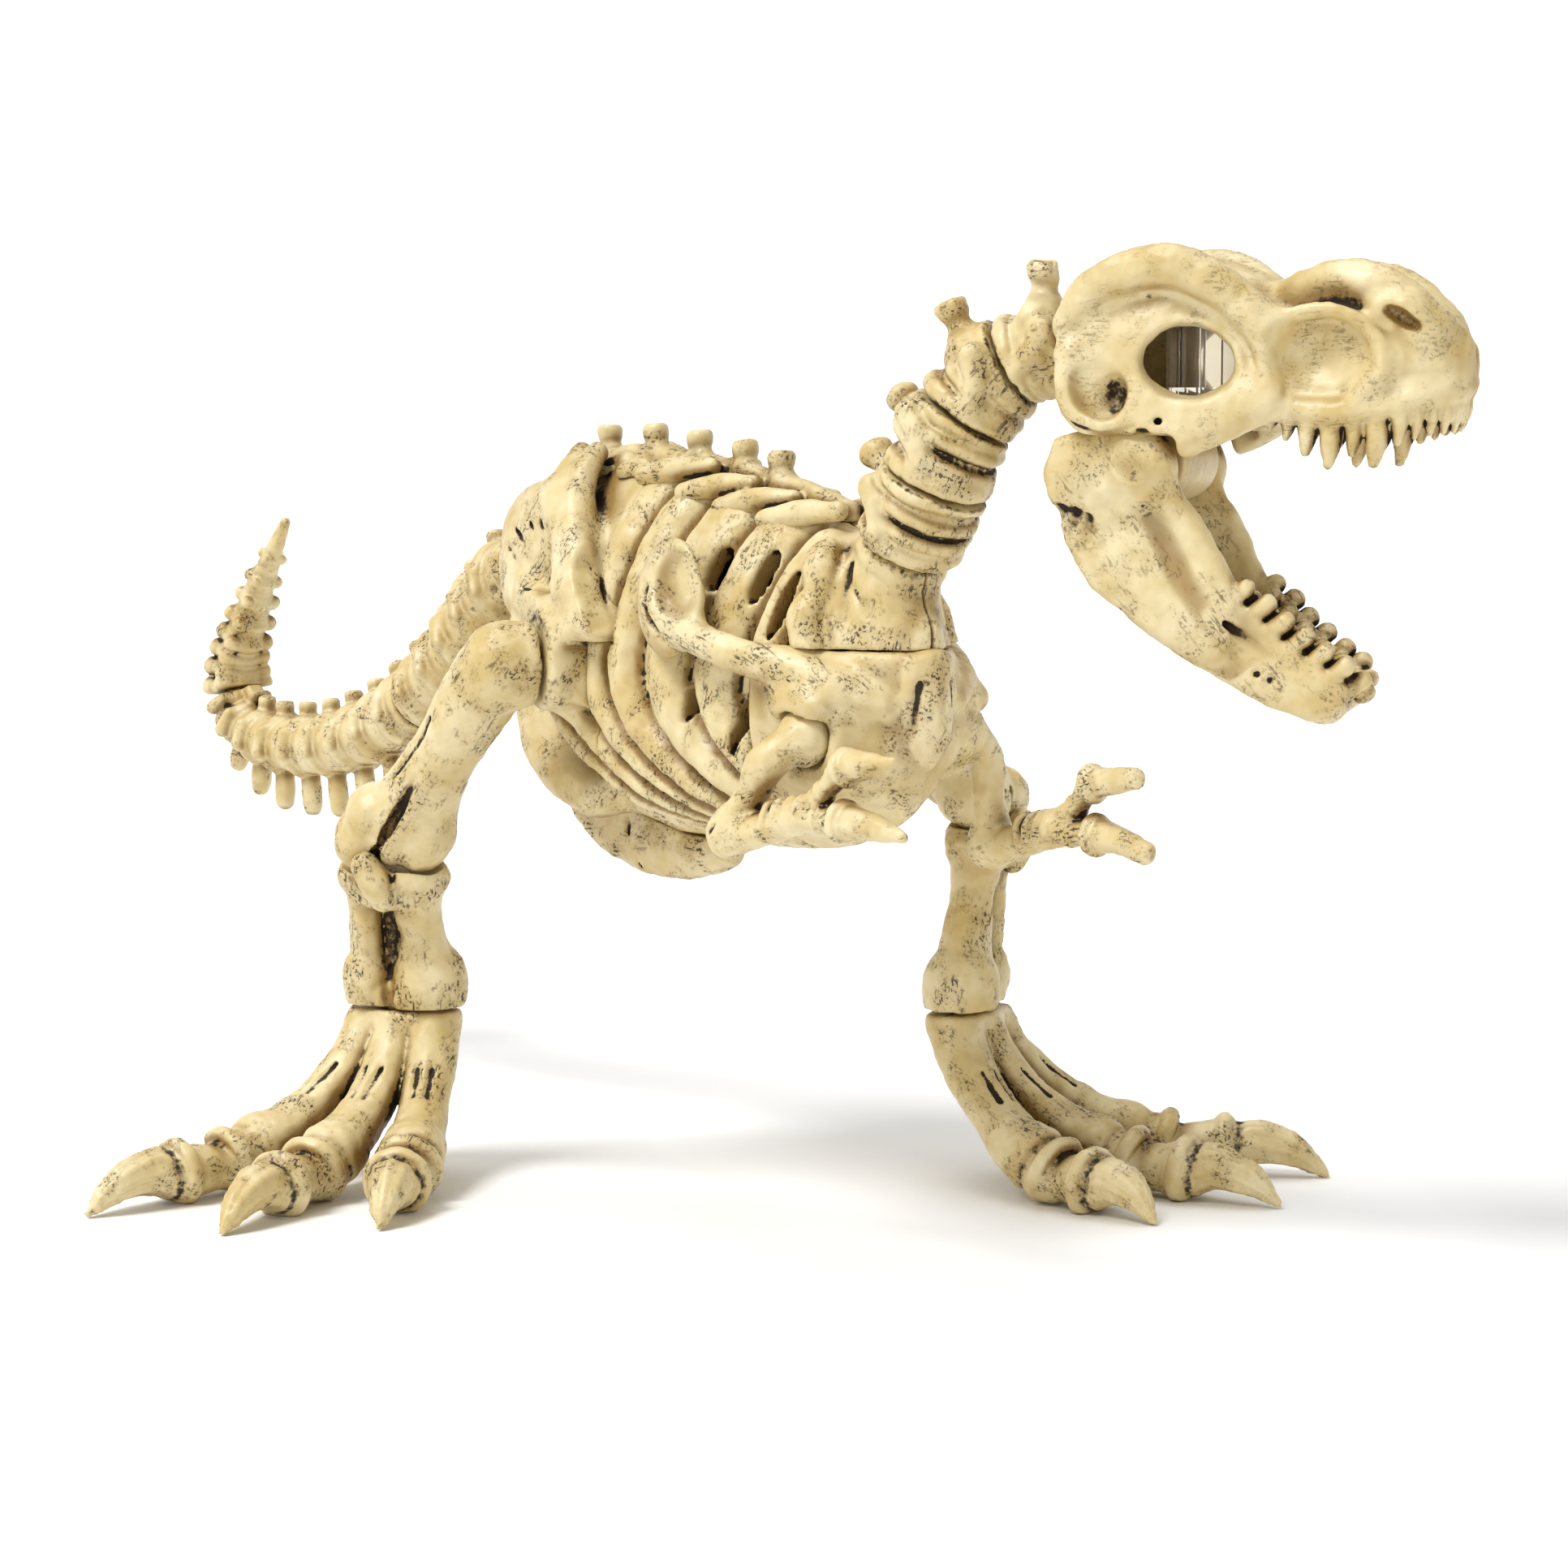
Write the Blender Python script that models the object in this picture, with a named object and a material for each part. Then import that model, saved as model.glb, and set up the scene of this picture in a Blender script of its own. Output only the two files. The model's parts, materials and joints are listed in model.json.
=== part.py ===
"""Tyrannosaur skeleton figure: a posable toy moulded in bone-coloured plastic.

Design frame, in millimetres: +X the way the chest faces, +Y the animal's left,
+Z up, floor at Z = 0.  Every solid is built there in its standing pose and is
written out in metres, with the middle of the figure's box over the origin.
"""

import math

import bmesh
import bpy
from mathutils import Matrix, Vector

for old in list(bpy.data.objects):
    bpy.data.objects.remove(old, do_unlink=True)

METRES = 0.001          # one millimetre
GAP = 0.3               # play between two pieces that touch or turn on each other
MIDLINE_GAP = 0.3       # between a left and a right moulding
RIGHT, LEFT = -1, 1
SIDE_NAME = {RIGHT: "right", LEFT: "left"}
UP = Vector((0, 0, 1))

scene = bpy.context.scene
figure = bpy.data.collections.new("tyrannosaur_skeleton")
helpers = bpy.data.collections.new("cutters")
scene.collection.children.link(figure)
scene.collection.children.link(helpers)


# ---------------------------------------------------------------- materials

def plastic(name, colour, roughness, alpha=1.0):
    """One Principled plastic; alpha under one for the clear eye capsule."""
    material = bpy.data.materials.new(name)
    material.use_nodes = True
    shader = material.node_tree.nodes["Principled BSDF"]
    shader.inputs["Base Color"].default_value = (*colour, 1.0)
    shader.inputs["Roughness"].default_value = roughness
    shader.inputs["Metallic"].default_value = 0.0
    shader.inputs["Alpha"].default_value = alpha
    return material


BONE = (0.74, 0.62, 0.37)


# ------------------------------------------------------------ solid makers

def from_bmesh(bm, name="solid"):
    """A helper object holding a bmesh, with its faces turned outward."""
    bmesh.ops.recalc_face_normals(bm, faces=bm.faces)
    mesh = bpy.data.meshes.new(name)
    bm.to_mesh(mesh)
    bm.free()
    obj = bpy.data.objects.new(name, mesh)
    helpers.objects.link(obj)
    return obj


def basis(axis, near=UP):
    """A rotation whose Z runs along axis and whose X leans toward near."""
    z = Vector(axis).normalized()
    x = Vector(near) - z * Vector(near).dot(z)
    if x.length < 0.05:
        x = Vector((1, 0, 0)) - z * z.x
    x.normalize()
    y = z.cross(x)
    return Matrix((x, y, z)).transposed().to_4x4()


def rod(points, radii, sides=8):
    """A bone shaft: a round-section curve with its own radius at each point."""
    curve = bpy.data.curves.new("rod", "CURVE")
    curve.dimensions = "3D"
    curve.bevel_depth = 1.0
    curve.bevel_resolution = (sides - 4) // 2
    curve.use_fill_caps = True
    curve.resolution_u = 1
    spline = curve.splines.new("POLY")
    spline.points.add(len(points) - 1)
    for spot, point, radius in zip(spline.points, points, radii):
        spot.co = (*point, 1.0)
        spot.radius = radius
    holder = bpy.data.objects.new("rod", curve)
    helpers.objects.link(holder)
    bpy.context.view_layer.update()
    mesh = bpy.data.meshes.new_from_object(holder.evaluated_get(bpy.context.evaluated_depsgraph_get()))
    bpy.data.objects.remove(holder, do_unlink=True)
    bm = bmesh.new()
    bm.from_mesh(mesh)
    bmesh.ops.remove_doubles(bm, verts=bm.verts, dist=0.01)
    return from_bmesh(bm)


def ball(centre, radii, segments=9, rings=6, turn=None):
    """A knob: a sphere stretched to three radii, turned and placed."""
    if not hasattr(radii, "__len__"):
        radii = (radii, radii, radii)
    bm = bmesh.new()
    bmesh.ops.create_uvsphere(bm, u_segments=segments, v_segments=rings, radius=1.0)
    place = Matrix.Translation(centre) @ (turn or Matrix()) @ Matrix.Diagonal((*radii, 1.0))
    bmesh.ops.transform(bm, matrix=place, verts=bm.verts)
    return from_bmesh(bm)


def drum(start, end, radius, end_radius=None, sides=12):
    """A straight peg, boss, socket wall or hole between two points."""
    start, end = Vector(start), Vector(end)
    span = end - start
    bm = bmesh.new()
    bmesh.ops.create_cone(
        bm, cap_ends=True, segments=sides, depth=span.length,
        radius1=radius, radius2=radius if end_radius is None else end_radius)
    bmesh.ops.transform(
        bm, matrix=Matrix.Translation((start + end) / 2) @ basis(span), verts=bm.verts)
    return from_bmesh(bm)


def block(centre, size, turn=None):
    """A rectangular block, for cuts and for blade-shaped spines."""
    bm = bmesh.new()
    bmesh.ops.create_cube(bm, size=1.0)
    place = Matrix.Translation(centre) @ (turn or Matrix()) @ Matrix.Diagonal((*size, 1.0))
    bmesh.ops.transform(bm, matrix=place, verts=bm.verts)
    return from_bmesh(bm)


def loft(rings):
    """A solid skinned through rings of equal point count, capped at both ends."""
    bm = bmesh.new()
    made = [[bm.verts.new(point) for point in ring] for ring in rings]
    count = len(rings[0])
    for low, high in zip(made, made[1:]):
        for i in range(count):
            j = (i + 1) % count
            bm.faces.new((low[i], low[j], high[j], high[i]))
    bm.faces.new(list(reversed(made[0])))
    bm.faces.new(made[-1])
    return from_bmesh(bm)


def plate(outline, thickness, place):
    """A flat moulded plate: a filled 2-D outline given an even thickness."""
    curve = bpy.data.curves.new("plate", "CURVE")
    curve.dimensions = "2D"
    curve.fill_mode = "BOTH"
    curve.extrude = thickness / 2
    spline = curve.splines.new("POLY")
    spline.points.add(len(outline) - 1)
    for spot, (u, v) in zip(spline.points, outline):
        spot.co = (u, v, 0.0, 1.0)
    spline.use_cyclic_u = True
    holder = bpy.data.objects.new("plate", curve)
    helpers.objects.link(holder)
    bpy.context.view_layer.update()
    mesh = bpy.data.meshes.new_from_object(holder.evaluated_get(bpy.context.evaluated_depsgraph_get()))
    bpy.data.objects.remove(holder, do_unlink=True)
    bm = bmesh.new()
    bm.from_mesh(mesh)
    bmesh.ops.remove_doubles(bm, verts=bm.verts, dist=0.01)
    bmesh.ops.transform(bm, matrix=place, verts=bm.verts)
    return from_bmesh(bm)


def ellipse(centre, across, upward, half_width, half_height, count=12):
    """A ring of points on an ellipse, for lofts."""
    ring = []
    for i in range(count):
        angle = 2 * math.pi * (i + 0.5) / count
        ring.append(
            Vector(centre) + Vector(across) * half_width * math.cos(angle)
            + Vector(upward) * half_height * math.sin(angle))
    return ring


def evaluated(base):
    """A solid's mesh after its Boolean steps, with no stray doubles."""
    bpy.context.view_layer.update()
    mesh = bpy.data.meshes.new_from_object(base.evaluated_get(bpy.context.evaluated_depsgraph_get()))
    bm = bmesh.new()
    bm.from_mesh(mesh)
    bmesh.ops.remove_doubles(bm, verts=bm.verts, dist=0.001)
    bmesh.ops.dissolve_degenerate(bm, edges=bm.edges, dist=0.001)
    return bm


def combine(solids, holes=()):
    """One closed body from several solids joined and several holes cut.

    The exact solver does the work; where it leaves an open edge the manifold
    solver does the same steps again.
    """
    base = solids[0]
    for other, kind in [(s, "UNION") for s in solids[1:]] + [(h, "DIFFERENCE") for h in holes]:
        step = base.modifiers.new(kind.lower(), "BOOLEAN")
        step.operation = kind
        step.solver = "EXACT"
        step.object = other
    bm = evaluated(base)
    if any(len(edge.link_faces) != 2 for edge in bm.edges):
        bm.free()
        for step in base.modifiers:
            step.solver = "MANIFOLD"
        bm = evaluated(base)
    for spent in [base, *solids[1:], *holes]:
        bpy.data.objects.remove(spent, do_unlink=True)
    return from_bmesh(bm)


def mirrored(solid):
    """A solid's mirror image across the animal's midline."""
    bm = bmesh.new()
    bm.from_mesh(solid.data)
    bmesh.ops.transform(bm, matrix=Matrix.Diagonal((1, -1, 1, 1)), verts=bm.verts)
    bmesh.ops.reverse_faces(bm, faces=bm.faces)
    return from_bmesh(bm)


def piece(name, solid, pivot, material):
    """Names a finished solid, sets its origin on its joint axis, in metres."""
    solid.name = name
    solid.data.name = name
    solid.data.transform(Matrix.Scale(METRES, 4) @ Matrix.Translation(-Vector(pivot)))
    solid.location = Vector(pivot) * METRES
    solid.data.materials.clear()
    solid.data.materials.append(plastic(name, *material))
    helpers.objects.unlink(solid)
    figure.objects.link(solid)
    solid.data.shade_smooth()
    solid.data.set_sharp_from_angle(angle=math.radians(40))
    return solid


BONE_PLASTIC = (BONE, 0.42)
CLEAR_PLASTIC = ((0.9, 0.88, 0.8), 0.06, 0.35)


# ------------------------------------------------------------ key positions

# Trunk stations: place along X, centre height, half width, half height.
TRUNK = [
    (-86, 156, 9, 11),
    (-74, 149, 18, 22.5),
    (-56, 141, 23, 37),
    (-36, 136.5, 25, 43.5),
    (-12, 133.5, 26, 44.5),
    (14, 132, 26, 43),
    (40, 130, 24, 40),
    (60, 130, 20, 34),
    (74, 131, 12, 25),
    (79, 132, 6, 15),
]
TRUNK_WALL = 2.4
PELVIS_FRONT = -21.0        # the ilium plate stops here and the rib cage starts
GIRDLE_BACK = 42.0          # the breastplate starts here
GIRDLE_TOP = 139.0          # and reaches up to here
TRUNK_PIVOT = Vector((0, 0, 135))

PEG_RADIUS = 4.0            # every turning plug
PEG_LENGTH = 5.0

HIP = {s: Vector((-34, s * 38, 131)) for s in (RIGHT, LEFT)}
HIP_CANT = math.radians(17)     # the hip discs face outward and a little backward
HIP_AXIS = {s: Vector((-math.sin(HIP_CANT), s * math.cos(HIP_CANT), 0)) for s in (RIGHT, LEFT)}
KNEE = {RIGHT: Vector((-72, -54, 85)), LEFT: Vector((8, 76, 94))}
ANKLE = {RIGHT: Vector((-82, -45, 40)), LEFT: Vector((10, 68, 41))}
LEG_YAW = {RIGHT: math.radians(-50), LEFT: math.radians(32)}     # the way each knee faces
FOOT_YAW = {RIGHT: math.radians(-61), LEFT: math.radians(26)}    # the way each middle toe points
TOE_LENGTHS = (72, 85, 92)      # inner, middle, outer, ankle to claw tip
TOE_SPLAY = math.radians(26)

SHOULDER = {s: Vector((62, s * 20, 119)) for s in (RIGHT, LEFT)}
ELBOW = {RIGHT: Vector((48, -32, 98)), LEFT: Vector((62, 34, 92))}

# Neck seams from the chest up to the back of the skull.
NECK = [
    Vector((71, 0, 162.5)),
    Vector((81.5, 0, 177.5)),
    Vector((87, 3.5, 192.5)),
    Vector((96.5, 10, 204.5)),
    Vector((109, 17, 207)),
]
NECK_RADIUS = (12.6, 13.0, 12.2, 11.0, 9.2)

HEAD_YAW = math.radians(29)
HEAD_FORWARD = Vector((math.cos(HEAD_YAW), math.sin(HEAD_YAW), 0))
HEAD_LEFT = Vector((-math.sin(HEAD_YAW), math.cos(HEAD_YAW), 0))
HEAD_ORIGIN = Vector((78, 0, 0))
HEAD = Matrix.Translation(HEAD_ORIGIN) @ Matrix.Rotation(HEAD_YAW, 4, "Z")
JAW_HINGE = Vector((57, 0, 182.5))          # in the head's own frame
JAW_OPEN = math.radians(48)                 # how far the standing jaw hangs open
JAW_EYE = Vector((7.3, 0, 2.9))             # the hinge, in the jaw outline's own frame
JAW = (HEAD @ Matrix.Translation(JAW_HINGE) @ Matrix.Rotation(JAW_OPEN, 4, "Y")
       @ Matrix.Translation(-JAW_EYE))
THROAT_RADIUS = 9.0
THROAT_HALF_WIDTH = 11.8
PIN_RADIUS = 2.4

# Tail centre line from the pelvis to the tip, and radius at each point.
TAIL = [
    (Vector((-84, 0, 154)), 9.0),
    (Vector((-101.5, 0, 147)), 10.5),
    (Vector((-116.5, 0, 136)), 10.2),
    (Vector((-131.5, 0, 124)), 9.8),
    (Vector((-149.5, 0, 113)), 9.4),
    (Vector((-169.5, 0, 104)), 9.0),
    (Vector((-191.5, 0, 98)), 8.6),
    (Vector((-213.5, 0, 95)), 8.2),
    (Vector((-235.5, 0, 95)), 7.8),
    (Vector((-251.5, 0, 99)), 7.4),
    (Vector((-258.5, 0, 108)), 7.0),
    (Vector((-257.5, 0, 119)), 6.2),
    (Vector((-249.5, 0, 131)), 5.2),
    (Vector((-239.5, 0, 145)), 3.6),
    (Vector((-226.5, 0, 160)), 1.6),
]
TAIL_SEAMS = (4, 10)        # the points where the three tail mouldings plug together


def tangent(points, i):
    """The direction of a centre line at point i."""
    low, high = points[max(i - 1, 0)], points[min(i + 1, len(points) - 1)]
    return (high - low).normalized()


# -------------------------------------------------------------------- trunk

def trunk_ring(x, centre, half_width, half_height, inset=0.0, count=16):
    """One upright egg-shaped section of the trunk."""
    ring = []
    for i in range(count):
        angle = 2 * math.pi * (i + 0.5) / count
        across, up = math.cos(angle), math.sin(angle)
        narrowing = 1.0 - 0.12 * up      # fuller low down than under the spine
        ring.append(Vector((
            x,
            max(half_width - inset, 1.0) * narrowing * across,
            centre + max(half_height - inset, 1.0) * up)))
    return ring


def trunk_solid(inset=0.0, stations=TRUNK):
    """The trunk's outer form, or its hollow when inset."""
    rings = [trunk_ring(x, centre, w, h, inset) for x, centre, w, h in stations]
    return loft(rings[1:-1] if inset else rings)


def trunk_at(x):
    """Centre height, half width and half height of the trunk at a place along X."""
    for low, high in zip(TRUNK, TRUNK[1:]):
        if low[0] <= x <= high[0]:
            t = (x - low[0]) / (high[0] - low[0])
            return [a + (b - a) * t for a, b in zip(low[1:], high[1:])]
    return TRUNK[-1][1:]


def side_half(side, reach=400):
    """A block that keeps one side of the midline when the other is cut away."""
    return block((0, -side * (reach / 2 - MIDLINE_GAP / 2), 130), (reach, reach, reach))


RIB_RADIUS = 2.8
RIB_TOPS = (-14, -3, 8, 19, 30)      # where each rib leaves the spine
RIB_SWEEP = 24                       # how far forward a rib's lower end reaches


def rib_points(x_top, side, rise=0.6):
    """The arc of one rib on the flank, swept forward toward its lower end."""
    points = []
    for i in range(6):
        angle = math.radians(68 - 29 * i)
        lower = (1 - math.sin(angle)) / 2
        x = x_top - 9 * math.sin(math.pi * lower) + RIB_SWEEP * lower ** 2
        centre, width, height = trunk_at(x)
        points.append(Vector((
            x,
            side * (width * (1 - 0.12 * math.sin(angle)) + rise) * math.cos(angle),
            centre + (height + rise) * math.sin(angle))))
    return points


def slot_cutter(x, side, height, low):
    """A lens-shaped opening between two ribs, right through the wall."""
    width = trunk_at(x)[1]
    return ball((x, side * width, low + height / 2), (2.6, 9, height / 2), 7, 5,
                Matrix.Rotation(math.radians(14), 4, "Y"))


def make_rib_cage(side):
    """One half of the rib cage: a thin wall with ribs standing on it."""
    ribs = [rod(rib_points(x, side), [RIB_RADIUS] * 6, 6) for x in RIB_TOPS]
    pelvis_side = block((PELVIS_FRONT + GAP / 2 - 100, 0, 130), (200, 200, 200))
    breast = block((GIRDLE_BACK + 100 - GAP, 0, GIRDLE_TOP - 100 + GAP), (200, 200, 200))
    neck_seat = drum(NECK[0] - 30 * tangent(NECK, 0), NECK[0], PEG_RADIUS + GAP, sides=10)
    above_seam = drum(NECK[0], NECK[0] + 40 * tangent(NECK, 0), 16, sides=12)
    slots = [
        slot_cutter(36, side, 24, 146),
        slot_cutter(25, side, 22, 148),
        slot_cutter(25, side, 30, 104),
        slot_cutter(14, side, 26, 102),
    ]
    collar = rod([NECK[0] - 14 * tangent(NECK, 0), NECK[0] - 1.0 * tangent(NECK, 0)], [9.5, 9.3], 12)
    return combine(
        [trunk_solid(), *ribs, collar],
        [trunk_solid(TRUNK_WALL), side_half(side), pelvis_side, breast, neck_seat, above_seam, *slots])


def make_pelvis(side):
    """One half of the pelvis: the ilium plate, its wall and the hip boss."""
    hip, axis = HIP[side], HIP_AXIS[side]
    front = block((PELVIS_FRONT - GAP / 2 + 100, 0, 130), (200, 200, 200))
    ilium = ball((-44, side * 22, 157), (21, 5.5, 20), 12, 8)
    crest = rod(
        [(-25, side * 16, 180), (-24, side * 25, 165), (-26, side * 28, 148), (-30, side * 29, 136)],
        [2.5, 3.2, 3.5, 3.0], 6)
    boss = drum(hip - 22 * axis, hip - 3 * axis, 12.5, 10.5, 14)
    peg_hole = drum(hip - 14 * axis, hip + 2 * axis, PEG_RADIUS + GAP, sides=10)
    seam, back = TAIL[0][0], tangent([point for point, _ in TAIL], 0)
    tail_socket = drum(seam - back * (PEG_LENGTH + 1), seam + back * 2, PEG_RADIUS + GAP, sides=10)
    behind = drum(seam - back * GAP / 2, seam + back * 60, 40, sides=12)
    return combine(
        [trunk_solid(), ilium, crest, boss],
        [trunk_solid(TRUNK_WALL), side_half(side), front, peg_hole, tail_socket, behind])


def make_backbone():
    """The row of dorsal spines and side wings along the top of the back."""
    solids = []
    stations = (-52, -31, -11, 8, 23)
    line = []
    for x in (-60, -40, -20, 0, 20, 36, 52):
        centre, _, height = trunk_at(x)
        line.append(Vector((x, 0, centre + height + 2.2)))
    solids.append(rod(line, [2.0, 2.6, 2.6, 2.6, 2.6, 2.6, 2.0], 8))
    for x in stations:
        centre, _, height = trunk_at(x)
        root = centre + height + 1.5
        solids.append(rod([(x, 0, root - 1), (x, 0, root + 4), (x - 0.5, 0, root + 8)], [3.0, 2.3, 3.2], 6))
        for side in (RIGHT, LEFT):
            solids.append(rod(
                [(x + 6, 0, root + 0.6), (x + 5, side * 8, root - 0.2), (x + 3, side * 13, root - 1.6)],
                [2.6, 2.6, 2.2], 4))
    back_clear = trunk_solid(0.0, [(x, c, w + GAP, h + GAP) for x, c, w, h in TRUNK])
    return combine(solids, [back_clear])


def make_breastplate():
    """The shoulder girdle: breastplate, both sockets and both shoulder blades."""
    swollen = [(x, c, w + 0.8, h + 0.8) for x, c, w, h in TRUNK]
    keep_back = block((GIRDLE_BACK - 100, 0, 130), (200, 200, 300))
    keep_low = block((0, 0, GIRDLE_TOP + 100), (300, 200, 200))
    solids, holes = [trunk_solid(0.0, swollen)], [trunk_solid(TRUNK_WALL), keep_back, keep_low]
    for side in (RIGHT, LEFT):
        shoulder = SHOULDER[side]
        outward = Vector((0, side, 0))
        holes.append(ball(shoulder + 2.5 * outward, 6.6 + GAP, 12, 8))
        solids.append(drum(shoulder - 7 * outward, shoulder + 1.0 * outward, 9.0, 8.6, 12))
    shell = combine(solids, holes)
    blades = []
    for side in (RIGHT, LEFT):
        blades.append(ball((19, side * 30.6, 149), (12, 3.4, 14), 12, 8))
        blades.append(rod(
            [(17, side * 30.8, 146), (30, side * 30.6, 140), (44, side * 28.2, 136.5), (58, side * 21.5, 133)],
            [4.6, 3.6, 3.4, 4.0], 8))
    return combine([shell, *blades])


def make_keel():
    """The pubic keel: a boat-shaped blade hanging under the belly."""
    outline = [(-68, 89), (-60, 84), (-50, 80), (-35, 76.5), (-17, 77), (2, 83), (6, 94),
               (-8, 97), (-28, 100), (-46, 104), (-58, 104), (-66, 97)]
    upright = Matrix.Rotation(math.radians(90), 4, "X")
    blade = plate(outline, 6.0, upright)
    swell = ball((-26, 0, 85), (24, 6.0, 7.4), 12, 8)
    belly_clear = trunk_solid(0.0, [(x, c, w + GAP, h + GAP) for x, c, w, h in TRUNK])
    return combine([blade, swell], [belly_clear])


# --------------------------------------------------------------------- neck

def make_neck(i):
    """One neck vertebra: a drum between two seams, a peg below, a socket above."""
    low, high = NECK[i], NECK[i + 1]
    n_low, n_high = tangent(NECK, i), tangent(NECK, i + 1)
    a, b = low + n_low * GAP / 2, high - n_high * GAP / 2
    middle = (a + b) / 2 + Vector((0.4, 0, -0.2))
    n_mid = (n_low + n_high).normalized()
    rings = []
    for point, normal, radius in (
            (a, n_low, NECK_RADIUS[i] - 1.0), (a + n_low * 2.0, n_low, NECK_RADIUS[i] + 0.3),
            (middle, n_mid, (NECK_RADIUS[i] + NECK_RADIUS[i + 1]) / 2 - 1.1),
            (b - n_high * 2.0, n_high, NECK_RADIUS[i + 1] + 0.3), (b, n_high, NECK_RADIUS[i + 1] - 1.0)):
        frame = basis(normal, Vector((0, 0, 1)))
        rings.append(ellipse(point, frame.col[0].xyz, frame.col[1].xyz, radius, radius, 12))
    body = loft(rings)
    back = (UP - n_mid * n_mid.z).normalized() if n_mid.z < 0.98 else Vector((-1, 0, 0))
    if back.x > -0.2:
        back = (back + Vector((-0.6, -0.25, 0))).normalized()
    spine_root = middle + back * 6.5
    spine = rod(
        [spine_root, spine_root + back * 5.5, spine_root + back * (9.5 + 1.2 * i)],
        [3.6, 2.6, 3.8], 6)
    side_dir = n_mid.cross(back).normalized()
    wings = [
        rod([middle + s * side_dir * 5 + back * 3, middle + s * side_dir * 10 + back * 4], [2.6, 1.6], 6)
        for s in (RIGHT, LEFT)]
    peg = drum(low + n_low * 2.0, low - n_low * PEG_LENGTH, PEG_RADIUS, sides=10)
    socket = drum(high - n_high * (PEG_LENGTH + 1.0), high + n_high * 2.0, PEG_RADIUS + GAP, sides=10)
    above = drum(b, b + n_high * 30, 20, sides=8)
    trimmed = combine([body, spine, *wings], [socket, above, drum(a, a - n_low * 30, 20, sides=8)])
    return combine([trimmed, peg])


# --------------------------------------------------------------------- head

# Upper skull sections in the head's own frame: forward, centre height, half width, half height.
SKULL = [
    (37, 204, 12, 12),
    (42, 205, 20, 18),
    (52, 206, 22.5, 20),
    (66, 207, 21.5, 20.5),
    (76, 206, 17, 18.5),
    (84, 205.5, 13.5, 15.5),
    (98, 206, 13, 16),
    (110, 206, 12.5, 14),
    (119, 205, 10.5, 11),
    (125, 203.5, 6, 6.5),
]
SKULL_WALL = 2.6
MOUTH_FRONT_Z = 196.0       # the roof of the mouth


def skull_form(inset=0.0):
    """The outer form of the skull, or its hollow when inset."""
    rings = []
    for forward, centre, width, height in SKULL:
        rings.append([
            Vector((forward, (width - inset) * (1 - 0.10 * math.sin(t)) * math.cos(t),
                    centre + (height - inset) * math.sin(t)))
            for t in [2 * math.pi * (k + 0.5) / 14 for k in range(14)]])
    return loft(rings[1:-1] if inset else rings)


UPPER_TEETH = ((86, 10.6, 3.2), (91, 10.8, 4.0), (96, 10.9, 6.5), (101, 10.9, 8.0),
               (107, 10.4, 8.0), (112.5, 9.6, 6.5), (117, 8.0, 5.5))


def make_skull(side):
    """One side of the skull, hollow, with its openings and upper teeth."""
    brow = ball((64, side * 14.5, 221), (13, 6.5, 6.5), 10, 6)
    cheek = ball((66, side * 17, 190), (17, 4.5, 5.0), 10, 6)
    snout = ball((104, side * 6, 217.5), (15, 6, 5), 10, 6)
    lip = rod([(84, side * 11, 193.5), (98, side * 11.2, 192), (110, side * 10.2, 193.5), (120, side * 6.5, 197),
               (123.5, side * 2.5, 198)], [2.4, 2.8, 2.6, 2.4, 2.2], 6)
    teeth = []
    for forward, out, length in UPPER_TEETH:
        root = 192.5 + max(0, forward - 104) * 0.28
        teeth.append(rod(
            [(forward, side * out, root), (forward + 0.5, side * out, root - 0.55 * length),
             (forward - 0.6, side * (out - 0.6), root - length)],
            [2.0, 1.7, 0.5], 4))
    eye = ball((68, side * 22, 204.5), (10.4, 14, 8.2), 12, 8)
    antorbital = ball((97, side * 15.5, 205), (9.5, 5.5, 7), 10, 6)
    nostril = ball((113, side * 12, 212), (5.5, 5, 3.2), 8, 6, Matrix.Rotation(math.radians(28), 4, "Y"))
    temple = ball((52.5, side * 24, 195), (4.0, 7, 5.5), 8, 6)
    throat = block((52, 0, 176), (44, 29, 32))
    mouth = block((104, 0, 180), (60, 14, 26))
    mouth_floor = block((104, 0, 172), (38, 60, 40))
    behind = block((36.2 - 20, 0, 204), (40, 60, 60))
    neck_seat = drum((30, 0, 207), (41.5, 0, 207), PEG_RADIUS + GAP, sides=10)
    jaw_room = block((50, side * 17, 168), (34, 12, 42))
    shell = combine(
        [skull_form(), brow, cheek, snout],
        [skull_form(SKULL_WALL), eye, antorbital, nostril, temple, throat, mouth_floor, jaw_room, behind])
    rear = combine([ball((41, 0, 206), (4.5, 11, 11), 12, 8)])
    return combine([shell, rear, lip, *teeth], [neck_seat, mouth, side_half(side)])


def make_capsule():
    """The clear faceted capsule held behind the two eye openings."""
    solid = drum((68, 0, 196.5), (68, 0, 213.5), 10.5, 10.5, 12)
    solid.data.transform(HEAD)
    return solid


def make_throat_drum():
    """The smooth cross drum in the throat that the jaw turns on."""
    out = Vector((0, THROAT_HALF_WIDTH, 0))
    solid = drum(JAW_HINGE - out, JAW_HINGE + out, THROAT_RADIUS, sides=16)
    stem = block(JAW_HINGE + UP * 9.2, (7, 18, 9))
    hole = drum(JAW_HINGE - out * 2, JAW_HINGE + out * 2, PIN_RADIUS + GAP, sides=10)
    whole = combine([solid, stem], [hole])
    whole.data.transform(HEAD)
    return whole


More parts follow.
